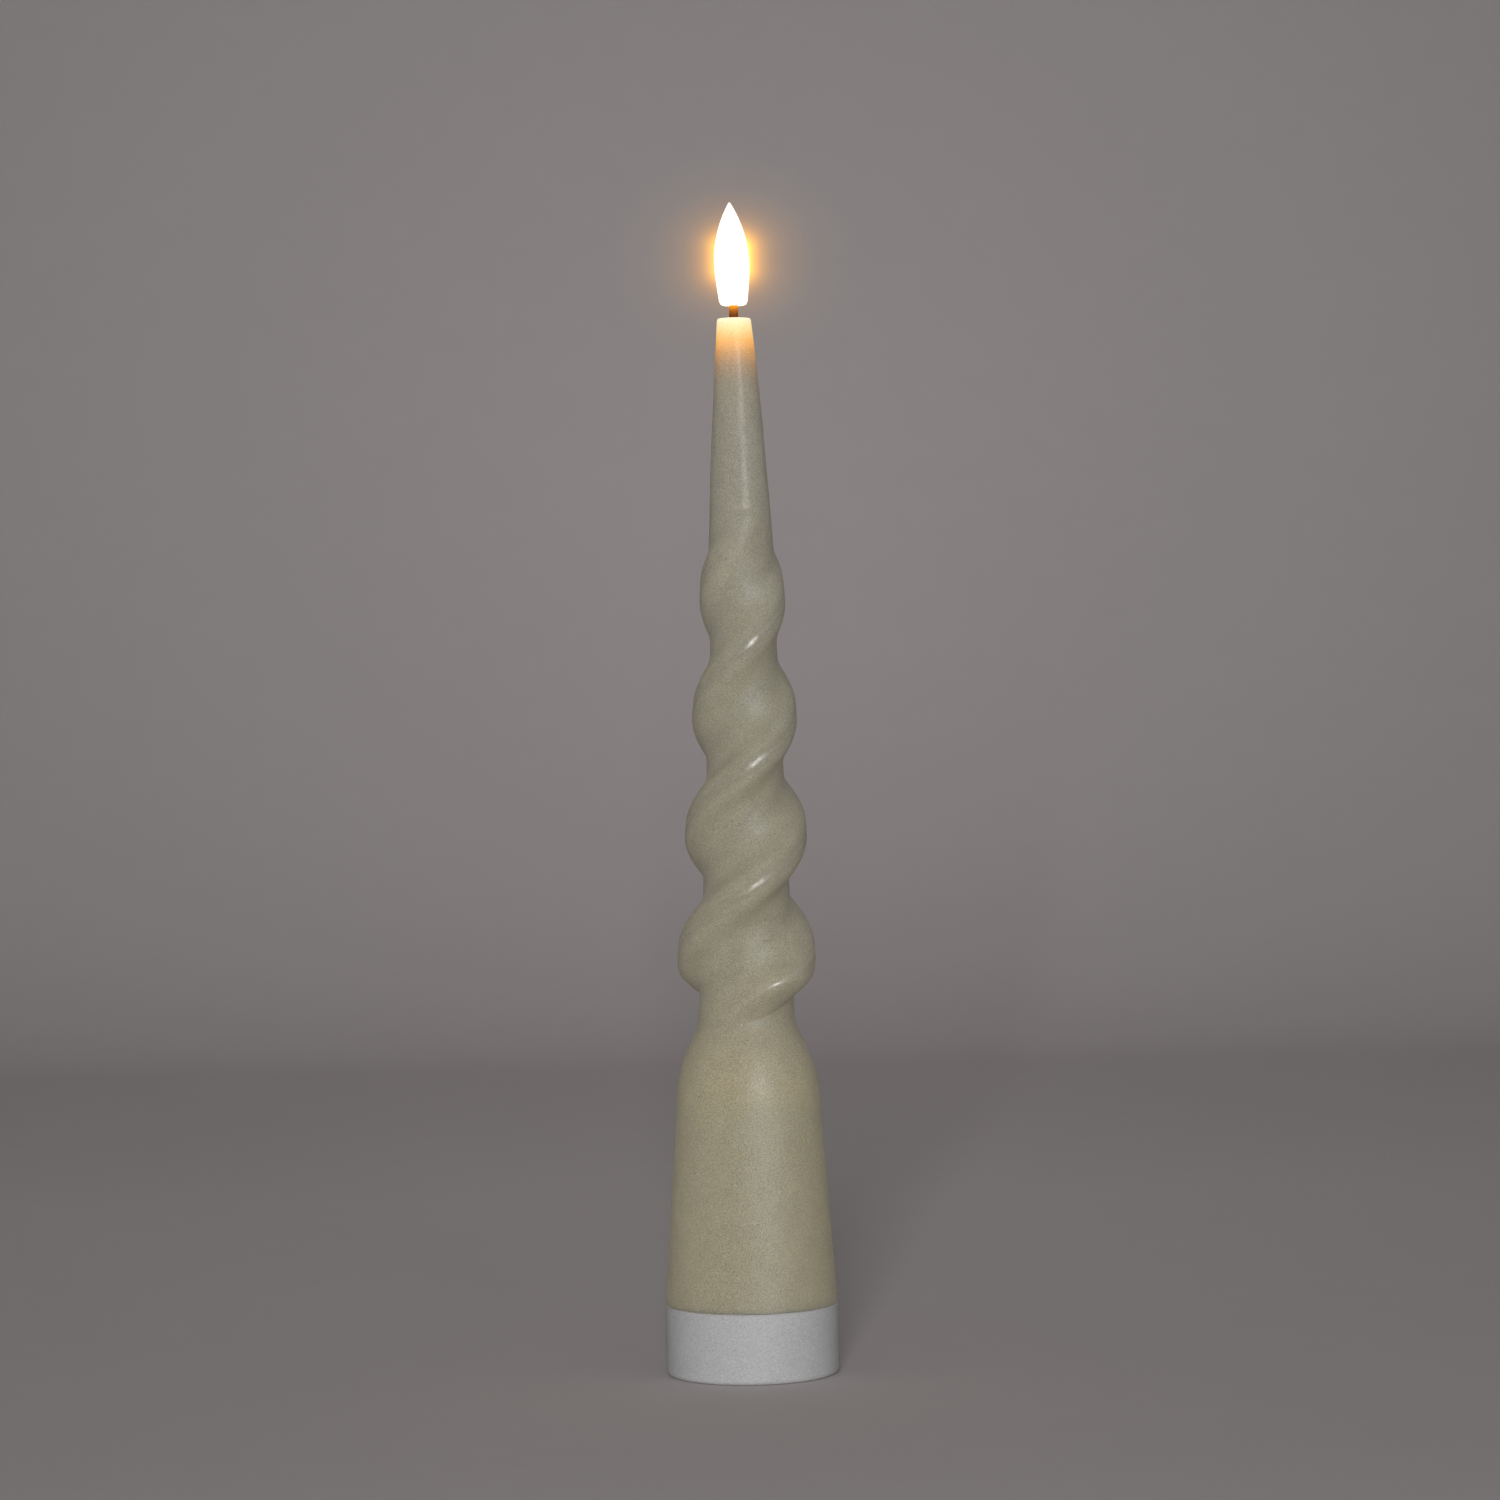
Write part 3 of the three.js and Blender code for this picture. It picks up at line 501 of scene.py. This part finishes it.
def arc_points(centre, radius, start_degrees, end_degrees, count=6):
    """Points along an arc of radius and height: the centre plus the radius times cosine and sine."""
    angle = np.radians(np.linspace(start_degrees, end_degrees, count + 1))
    return np.column_stack([centre[0] + radius * np.cos(angle), centre[1] + radius * np.sin(angle)])


def ease(value, low, high):
    """A smooth step from 0 to 1 between low and high."""
    t = np.clip((value - low) / (high - low), 0, 1)
    return t * t * (3 - 2 * t)


def taper_radius(height):
    """The plain taper above the twist: a cone, slightly swollen half way."""
    top = wax_top / MM
    share = (height - taper_top_height) / (top - taper_top_height)
    swell = taper_swell * np.sin(np.pi * np.clip(share, 0, 1))
    return taper_top_radius + (tip_radius - taper_top_radius) * share + swell


def core_slope():
    """How fast the core between the strands narrows with height."""
    last_neck = first_bulge_height + (bulge_count - 1.5) * half_pitch
    return (neck_radius - last_neck_radius) / (last_neck - neck_height)


def core_radius(height):
    """The core narrows evenly from the neck and meets the taper at the top."""
    core = neck_radius - core_slope() * (height - neck_height)
    blend = ease(height, *core_fade)
    return core + (taper_radius(height) - core) * blend


def strand_presence(height):
    """How much of the strands stands out: smooth steps from none at the neck and to none at the top."""
    start = ease(height, neck_height, strand_full_height)
    end = 1 - ease(height, strand_fade_start, twist_top)
    return start * end


def ridge_radius(height):
    """How far a strand's ridge stands from the axis: a straight taper, swollen half way, that grows
    out of the core at the neck and melts into it at the top."""
    share = (height - first_bulge_height) / ((bulge_count - 1) * half_pitch)
    swell = bulge_swell * np.sin(np.pi * np.clip(share, 0, 1))
    full = first_bulge_radius + (last_bulge_radius - first_bulge_radius) * share + swell
    core = core_radius(height)
    return core + (full - core) * strand_presence(height)


def ridge_angle(height):
    """The direction in which the first strand's ridge points: it turns evenly with height, and runs
    a little ahead near the neck."""
    lead = np.radians(twist_lead_degrees) * (1 - ease(height, neck_height, twist_lead_end))
    return np.pi * (height - first_bulge_height) / half_pitch + lead


def strand_share(angle):
    """A strand's radius at an angle from its ridge, as a share of its reach: the way out of a rounded
    square that lies off the axis, found by halving."""
    along = np.abs(np.cos(angle))
    across = np.abs(np.sin(angle))

    def inside(radius):
        """Whether a point at this radius lies in the rounded square: the sum of two powers is at most 1."""
        x = np.abs(radius * along - strand_offset) / (1 - strand_offset)
        y = radius * across / strand_half_width
        return x ** strand_squareness + y ** strand_squareness <= 1

    low = strand_offset * along
    high = np.ones_like(angle)
    missed = ~inside(low)
    for _ in range(30):
        middle = (low + high) / 2
        is_in = inside(middle)
        low = np.where(is_in, middle, low)
        high = np.where(is_in, high, middle)
    return np.where(missed, 0, low)


def filleted_max(a, b, size):
    """The larger of two radii, with a fillet where they cross."""
    overlap = np.maximum(size - np.abs(a - b), 0) / np.maximum(size, 1e-9)
    return np.maximum(a, b) + overlap ** 2 * size / 4


def axis_shift(height):
    """How far the wax bows to the right of its straight axis: half a sine wave from neck to tip."""
    share = np.clip((height - bow_start) / (wax_top / MM - bow_start), 0, 1)
    return bow * np.sin(np.pi * share)


def dents(height, angle):
    """The uneven skin of a poured candle: slow waves round and along it."""
    waves = (
        np.sin(2 * angle + 0.061 * height)
        + np.sin(3 * angle - 0.113 * height + 1.3)
        + 0.7 * np.sin(5 * angle + 0.197 * height + 2.1)
        + 0.5 * np.sin(angle + 0.31 * height)
    )
    return dent_depth * waves / 2


def wax_outside():
    """The heights, column turns and radii of the wax's outside, from the foot to the edge of its top: a
    cone, a cubic curve in to the neck, the larger of core and strands with a fillet, the taper and a rounded
    edge. The columns turn with the ridges."""
    top = wax_top / MM
    bottom = wax_bottom / MM
    slope = (skirt_foot_radius - shoulder_radius) / (shoulder_height - bottom)
    angle = 2 * np.pi * np.arange(wax_columns) / wax_columns
    shoulder = bezier(
        (shoulder_radius, shoulder_height),
        (shoulder_radius - slope * shoulder_ease, shoulder_height + shoulder_ease),
        (neck_radius + core_slope() * neck_ease, neck_height - neck_ease),
        (neck_radius, neck_height),
        shoulder_rows,
    )
    skirt_heights = np.linspace(bottom - foot_lap, shoulder_height, skirt_rows)
    skirt_radii = skirt_foot_radius - slope * (skirt_heights - bottom)
    twist_heights = np.linspace(neck_height, twist_top, twist_rows)[1:]
    share = strand_share(angle)[None, :]
    core = core_radius(twist_heights)[:, None]
    fillet = crease_fillet * strand_presence(twist_heights)[:, None]
    twist_radii = filleted_max(core, share * ridge_radius(twist_heights)[:, None], fillet)
    taper_heights = np.linspace(twist_top, top - tip_edge, taper_rows)[1:]
    edge = arc_points((tip_radius - tip_edge, top - tip_edge), tip_edge, 0, 90)[1:]
    heights = np.concatenate([skirt_heights, shoulder[:, 1], twist_heights, taper_heights, edge[:, 1]])
    plain = np.ones((1, wax_columns))
    radii = np.concatenate([
        skirt_radii[:, None] * plain,
        shoulder[:, :1] * plain,
        twist_radii,
        taper_radius(taper_heights)[:, None] * plain,
        edge[:, :1] * plain,
    ])
    turn = ridge_angle(np.clip(heights, neck_height, twist_top))
    return heights, turn[:, None] + angle[None, :], radii


def from_ridge(heights, angles):
    """The angle past the first strand's ridge."""
    return angles - ridge_angle(np.clip(heights, neck_height, twist_top))


def crest_share(heights, angles, width):
    """1 along the crest of each strand, falling off to the sides as a bell curve, where strands stand out."""
    off_crest = np.abs(np.sin(from_ridge(heights, angles)))
    return np.exp(-(off_crest / width) ** 2) * strand_presence(heights)


def fold_share(heights, angles):
    """1 at the bottom of the crease between a strand and the core, falling to 0 over the fillet."""
    strand = strand_share(from_ridge(heights, angles)) * ridge_radius(heights)
    near = np.clip(1 - np.abs(strand - core_radius(heights)) / fold_reach, 0, 1)
    return near * strand_presence(heights)


def taper_share(heights):
    """0 on the twist, with a smooth step to 1 on the plain taper."""
    return ease(heights, twist_top - taper_blend, twist_top)


def ridge_polish(heights, angles):
    """How far the skin is rubbed glossy: most along the crest of each strand, a little on the shoulder
    and the taper."""
    over_shoulder = ease(heights, shoulder_height, shoulder_height + shoulder_blend)
    shoulder = over_shoulder * (1 - ease(heights, neck_height - shoulder_blend, neck_height))
    taper = taper_share(heights)
    behind = np.radians(start_lag_degrees) * (1 - ease(heights, *start_lag_heights))
    width = crest_width + start_crest_spread * (1 - ease(heights, *start_spread_heights))
    crest = crest_share(heights, angles + behind, width)
    return crest_polish * crest + shoulder_polish * shoulder + taper_polish * taper


def mark_points(mesh, name, values):
    """Keeps a value for each point of a mesh under a name."""
    mesh.attributes.new(name, "FLOAT", "POINT").data.foreach_set("value", values.astype(np.float32))


def wax_inside():
    """Radius and height down the pin's bore, the stem's bore, the dome, which is a quarter of an ellipse,
    and the skirt's hollow, a cone."""
    top = wax_top / MM
    bottom = wax_bottom / MM
    slope = (skirt_foot_radius - shoulder_radius) / (shoulder_height - bottom)
    hollow_foot = skirt_foot_radius - wax_wall
    hollow_dome = hollow_foot - slope * (dome_start - bottom)
    arc = np.radians(np.linspace(90, 0, dome_rows))
    dome = np.column_stack([
        stem_bore + (hollow_dome - stem_bore) * np.cos(arc),
        dome_start + (dome_top - dome_start) * np.sin(arc),
    ])
    bore = [(pin_bore, top - bore_edge), (pin_bore, stem_bore_top), (stem_bore, stem_bore_top)]
    return np.vstack([[(pin_bore + bore_edge, top)], bore, dome, [(hollow_foot, bottom)]])


def wax_shell():
    """The wax: its outside, then its top and its hollow back down to the foot, as one closed skin. The
    foot's edge rises and falls with three sine waves round it."""
    heights, angles, radii = wax_outside()
    inside = wax_inside()
    plain = np.ones((1, wax_columns))
    all_heights = np.concatenate([heights, inside[:, 1]])[:, None] * plain
    all_angles = np.vstack([angles, np.repeat(angles[-1][None, :], len(inside), axis=0)])
    all_radii = np.vstack([radii + dents(heights[:, None], angles), inside[:, :1] * plain])
    foot = 1 - ease(all_heights, wax_bottom / MM, wax_bottom / MM + foot_unevenness_height)
    foot[len(heights):] = 0
    waves = np.sin(7 * all_angles + 0.5) + np.sin(11 * all_angles) + np.sin(17 * all_angles + 1)
    all_heights = all_heights + foot * foot_unevenness * waves / 3
    rows = np.stack([
        all_radii * np.cos(all_angles) + axis_shift(all_heights),
        all_radii * np.sin(all_angles),
        all_heights,
    ], axis=-1) * MM
    turn = (angles[-1, 0] - angles[0, 0]) / (2 * np.pi / wax_columns)
    mesh = grid_mesh("wax_skin", rows, turn_back=int(round(turn)) % wax_columns)
    points = np.empty(len(mesh.vertices) * 3, np.float32)
    mesh.vertices.foreach_get("co", points)
    x, y, z = (points.reshape(-1, 3) / MM).T
    around = np.arctan2(y, x - axis_shift(z))
    crest = crest_share(z, around, broad_crest_width)
    mark_points(mesh, "ridge_polish", ridge_polish(z, around))
    mark_points(mesh, "crest_share", crest)
    mark_points(mesh, "fold_share", fold_share(z, around))
    mark_points(mesh, "matt_share", np.maximum(crest, taper_share(z)))
    return finish_piece(link_mesh("wax_skin", mesh), "casing", "wax", ["wax_shell"])


def flame_lens():
    """The flame: a lathe from the hole in its foot, out over the belly to the tip, and back inside. Its
    sides are cubic curves, and it leans to the left in step with its height."""
    foot = flame_low.z / MM
    tip = flame_high.z / MM
    hole, foot_radius, belly_radius = 1.3, 3.12, 3.83
    belly = foot + 9.2
    wall = 0.9

    def side(inset):
        """Radius and height from the foot's hole to the tip, drawn in from the outside by an inset."""
        low = foot + inset
        start = np.array([(hole, low), (2.0 - inset / 2, low)])
        corner = bezier(
            start[1], (foot_radius - 0.35 - inset, low), (foot_radius - inset, low + 0.6),
            (foot_radius + 0.05 - inset, low + 1.5), 10,
        )
        lower = bezier(
            corner[-1], (foot_radius + 0.33 - inset, low + 3.8), (belly_radius - inset, belly - 2.7),
            (belly_radius - inset, belly), 20,
        )
        upper = bezier(
            lower[-1], (belly_radius - inset, belly + 5.4), (2.1 - inset, tip - 3.3 - 2 * inset),
            (0.16, tip - 0.08 - 2 * inset), 36,
        )
        return np.vstack([start, corner, lower, upper, [(0, tip - 2 * inset)]])

    profile = np.vstack([side(0), side(wall)[::-1]])
    rows = turned_rows(profile, flame_columns)
    rows[..., 0] -= flame_lean * MM * (rows[..., 2] / MM - foot) / (tip - foot)
    mesh = grid_mesh("flame_skin", rows)
    return finish_piece(link_mesh("flame_skin", mesh), "casing", "flame", ["flame_lens"])


def wick_pin():
    """The pin: a thin tube with bevelled ends, turned on a lathe."""
    low, high = pin_low.z / MM, pin_high.z / MM
    outer, inner, edge = 1.0, 0.78, 0.1
    profile = np.vstack([
        [(inner, low + edge), (inner + edge, low), (outer - edge, low), (outer, low + edge)],
        [(outer, high - edge), (outer - edge, high), (inner + edge, high), (inner, high - edge)],
    ])
    mesh = grid_mesh("wick_pin", turned_rows(profile, pin_columns))
    return finish_piece(link_mesh("wick_pin", mesh), "casing", "wick", ["wick_sleeve"])


def moulded_copy(node_name, slot_name, body, edge_mm):
    """A merged, smoothly shaded copy of a node, with its edges softened where it has a moulded edge."""
    merge_distance, flat_degrees, bevel_degrees, smooth_degrees = 2e-6, 0.5, 35.0, 30.0
    mesh = nodes[node_name].data.copy()
    shape = bmesh.new()
    shape.from_mesh(mesh)
    bmesh.ops.remove_doubles(shape, verts=shape.verts, dist=merge_distance)
    flat = math.radians(flat_degrees)
    bmesh.ops.dissolve_limit(
        shape, angle_limit=flat, verts=shape.verts, edges=shape.edges, delimit={"NORMAL"}
    )
    shape.to_mesh(mesh)
    shape.free()
    piece = link_mesh(f"{node_name}_skin", mesh)
    if edge_mm:
        bevel = piece.modifiers.new("softened edges", "BEVEL")
        bevel.width = edge_mm * MM
        bevel.segments = 2
        bevel.limit_method = "ANGLE"
        bevel.angle_limit = math.radians(bevel_degrees)
        bevel.harden_normals = True
    smooth_by_angle(mesh, smooth_degrees)
    return finish_piece(piece, body, slot_name, [node_name])


def small_pieces():
    """Softened copies of all the nodes that have no surface of their own here, by their bodies and slots."""
    bodies = frame["record"]["behaviour"]["bodies"]
    body_of = {name: body for body, names in bodies.items() for name in names}
    slot_of = {part["node"]: part["material_slot"] for part in frame["record"]["subparts"]}
    moulded_edge = {
        "base_shell": 0.2,
        "battery_door": 0.18,
        "battery_housing": 0.2,
        "switch_slider": 0.2,
        "switch_body": 0.12,
        "timer_chip": 0.05,
        "resistor": 0.05,
    }
    made_elsewhere = {"wax_shell", "flame_lens", "wick_sleeve"}
    for name in sorted(set(nodes) - made_elsewhere):
        moulded_copy(name, slot_of[name], body_of[name], moulded_edge.get(name, 0.0))


def raised_mark(mesh, across, along, body):
    """Gives a flat raised mark its place on the underside: turned half round the Y axis, so that it reads
    from below, then moved."""
    merge_distance, smooth_degrees = 1e-6, 20.0
    place = Matrix.Translation(Vector((across, along, underside - mark_sink)) * MM)
    turned = place @ Matrix.Rotation(math.pi, 4, "Y")
    shape = bmesh.new()
    shape.from_mesh(mesh)
    bmesh.ops.remove_doubles(shape, verts=shape.verts, dist=merge_distance)
    bmesh.ops.transform(shape, matrix=turned, verts=shape.verts)
    bmesh.ops.recalc_face_normals(shape, faces=shape.faces)
    shape.to_mesh(mesh)
    shape.free()
    smooth_by_angle(mesh, smooth_degrees)
    return finish_piece(link_mesh(mesh.name, mesh), body, "white_plastic")


def switch_words():
    """The moulded words beside the switch: on where the knob rests, off, and the timer at its far end."""
    for word, across in (("ON", -3.5), ("OFF", -0.5), ("TIMER", 3.3)):
        curve = bpy.data.curves.new("word", "FONT")
        curve.body = word
        curve.size = word_size * MM
        curve.extrude = mark_depth / 2 * MM
        curve.align_x = "CENTER"
        curve.align_y = "CENTER"
        curve.resolution_u = 4
        flat = bpy.data.objects.new("word", curve)
        mesh = bpy.data.meshes.new_from_object(flat)
        mesh.name = f"word_{word.lower()}"
        bpy.data.objects.remove(flat)
        raised_mark(mesh, across, words_y, "casing")


def door_arrow():
    """The moulded arrow on the door, which points to the tongue: a head and a shaft as one outline, drawn
    down to a thickness."""
    head_length, head_half, shaft_length, shaft_half = 1.6, 1.5, 1.7, 0.55
    outline = np.array([
        (-head_length, 0), (0, head_half), (0, shaft_half), (shaft_length, shaft_half),
        (shaft_length, -shaft_half), (0, -shaft_half), (0, -head_half),
    ])
    count = len(outline)
    half = mark_depth / 2
    points = np.vstack([np.column_stack([outline, np.full(count, side)]) for side in (-half, half)]) * MM
    around = np.arange(count)
    ahead = (around + 1) % count
    walls = np.column_stack([around, ahead, ahead + count, around + count]).tolist()
    mesh = bpy.data.meshes.new("door_arrow")
    mesh.from_pydata(points.tolist(), [], [around[::-1].tolist(), (around + count).tolist(), *walls])
    raised_mark(mesh, arrow_x, 0, "door")


def bloom_on_paper(tree, place):
    """The bloom that the camera sees round the lit flame, as amber light on the paper behind it. Each point
    of the paper is drawn back to the flame's plane along its line to the camera's eye, and the light falls
    off there as a power of the distance from the flame's heart."""
    heart_low, heart_high, end_squeeze, reach, edge_start = 242.5 * MM, 246.5 * MM, 1.25, 27 * MM, 0.55
    nearest_mm, power, brightness = 3.6, -2.65, 65.0
    drawn = math_node(tree, "DIVIDE", eye_distance, math_node(tree, "ADD", place["Y"], eye_distance))

    def drawn_back(part, eye):
        """A part of the point, moved towards the eye's."""
        return math_node(tree, "MULTIPLY_ADD", math_node(tree, "SUBTRACT", place[part], eye), drawn, eye)

    height = drawn_back("Z", eye_height)
    above = math_node(tree, "MAXIMUM", math_node(tree, "SUBTRACT", height, heart_high), 0.0)
    below = math_node(tree, "MAXIMUM", math_node(tree, "SUBTRACT", heart_low, height), 0.0)
    along = math_node(tree, "MULTIPLY", math_node(tree, "ADD", above, below), end_squeeze)
    distance = length_of(tree, X=drawn_back("X", eye_side), Z=along)
    in_mm = math_node(tree, "MAXIMUM", math_node(tree, "MULTIPLY", distance, 1 / MM), nearest_mm)
    edge = share_between(tree, distance, reach, edge_start * reach)
    strength = math_node(tree, "MULTIPLY", math_node(tree, "POWER", in_mm, power), edge)
    bright = math_node(tree, "MULTIPLY", strength, brightness)
    return vector_node(tree, "SCALE", (1.0, 0.42, 0.0), scale=bright)


def paper_material():
    """Matt grey paper with painted shade: darker away from the middle and up the wall, and with painted light
    a little paler half way back.
    """
    painted_shade_height, painted_shade_start, painted_shade_full = 0.22, 0.05, 0.45
    front, back, back_shade = -0.1, 1.15, 0.89
    made, tree, shader = material("grey_paper")
    place = place_parts(tree)
    # Painted shade: the paper darkens away from the middle and up the wall.
    above = math_node(tree, "MAXIMUM", math_node(tree, "SUBTRACT", place["Z"], painted_shade_height), 0.0)
    side_shade_share = share_between(tree, length_of(tree, X=place["X"], Z=above), painted_shade_start, painted_shade_full)
    side_shaded_colour = colour_steps(tree, side_shade_share, [
        (0.0, (0.635, 0.585, 0.578)),
        (1.0, (0.50, 0.472, 0.468)),
    ])
    # Painted shade and light by depth: darker at the front and back, paler half way back.
    shade = colour_steps(tree, share_between(tree, place["Y"], front, back), [
        (0.0, (0.83, 0.83, 0.83)),
        (0.12, (0.88, 0.88, 0.88)),
        (0.34, (0.99, 0.99, 0.99)),
        (0.7, (0.99, 0.99, 0.99)),
        (1.0, (back_shade, back_shade, back_shade)),
    ])
    evened = vector_node(tree, "SCALE", shade, scale=1.0 / back_shade)
    colour = vector_node(tree, "MULTIPLY", side_shaded_colour, evened)
    grained(tree, shader, colour, fineness=60.0, contrast=0.03, bump_mm=0.02)
    shader.inputs["Roughness"].default_value = 0.9
    tree.links.new(bloom_on_paper(tree, place), shader.inputs["Emission Color"])
    shader.inputs["Emission Strength"].default_value = 1.0
    return made


def sweep():
    """The plain floor, which curves up into a wall behind the candle: a profile of a line, a quarter circle
    and a line, carried sideways."""
    floor_front, bend_start, bend_radius, wall_top, half_width = -1.6, 0.75, 0.4, 1.9, 1.8
    floor_rows, bend_rows, wall_rows, columns = 24, 33, 12, 9
    floor = np.column_stack([np.linspace(floor_front, bend_start, floor_rows), np.zeros(floor_rows)])
    bend = arc_points((bend_start, bend_radius), bend_radius, -90, 0, bend_rows - 1)
    wall = np.column_stack([
        np.full(wall_rows, bend_start + bend_radius),
        np.linspace(bend_radius, wall_top, wall_rows + 1)[1:],
    ])
    profile = np.vstack([floor, bend[1:], wall])
    points = np.empty((len(profile), columns, 3))
    points[..., 0] = np.linspace(half_width, -half_width, columns)[None, :]
    points[..., 1] = profile[:, :1]
    points[..., 2] = profile[:, 1:]
    row, column = np.meshgrid(np.arange(len(profile) - 1), np.arange(columns - 1), indexing="ij")
    first = (row * columns + column).ravel()
    quads = np.column_stack([first, first + 1, first + columns + 1, first + columns])
    mesh = bpy.data.meshes.new("paper_sweep")
    mesh.from_pydata(points.reshape(-1, 3).tolist(), [], quads.tolist())
    mesh.shade_smooth()
    mesh.materials.append(paper_material())
    link_mesh("paper_sweep", mesh)


def lamp(name, place, width, height, watts):
    """A soft rectangular lamp turned towards the middle of the candle."""
    light = bpy.data.lights.new(name, "AREA")
    light.shape = "RECTANGLE"
    light.size = width
    light.size_y = height
    light.energy = watts
    piece = bpy.data.objects.new(name, light)
    bpy.context.scene.collection.objects.link(piece)
    piece.location = place
    piece.rotation_euler = (Vector(candle_middle) - Vector(place)).to_track_quat("-Z", "Y").to_euler()
    return piece


def studio():
    """A soft lamp above the camera, a strip to its right that only glossy skins mirror, and even light
    from all sides."""
    front = lamp("front_lamp", (-0.1, -2.2, 0.6), width=0.4, height=0.3, watts=27.5)
    front.visible_glossy = False
    strip = lamp("glint_strip", (0.85, -2.03, 0.6), width=0.5, height=0.25, watts=22.0)
    strip.visible_diffuse = False
    strip.visible_transmission = False
    strip.visible_volume_scatter = False
    world = bpy.data.worlds.new("studio")
    bpy.context.scene.world = world
    world.use_nodes = True
    background = world.node_tree.nodes["Background"]
    background.inputs["Color"].default_value = (0.98, 0.99, 1.0, 1.0)
    background.inputs["Strength"].default_value = 0.13


def camera():
    """The camera at the photograph's place: eye level below the middle of the candle, tilted a little."""
    aim_height, tilt_degrees, view_degrees = 0.1369, -1.07, 18.67
    data = bpy.data.cameras.new("camera")
    data.sensor_width = 36
    data.angle = math.radians(view_degrees)
    piece = bpy.data.objects.new("camera", data)
    bpy.context.scene.collection.objects.link(piece)
    place = Vector((eye_side, -eye_distance, eye_height))
    aim = Vector((eye_side, 0, aim_height)) - place
    level = aim.to_track_quat("-Z", "Y").to_matrix().to_4x4()
    tilted = level @ Matrix.Rotation(math.radians(tilt_degrees), 4, "Z")
    piece.matrix_world = Matrix.Translation(place) @ tilted
    bpy.context.scene.camera = piece


camera()
studio()
sweep()
wax_shell()
flame_lens()
wick_pin()
small_pieces()
switch_words()
door_arrow()

bpy.context.scene.view_settings.view_transform = "Standard"
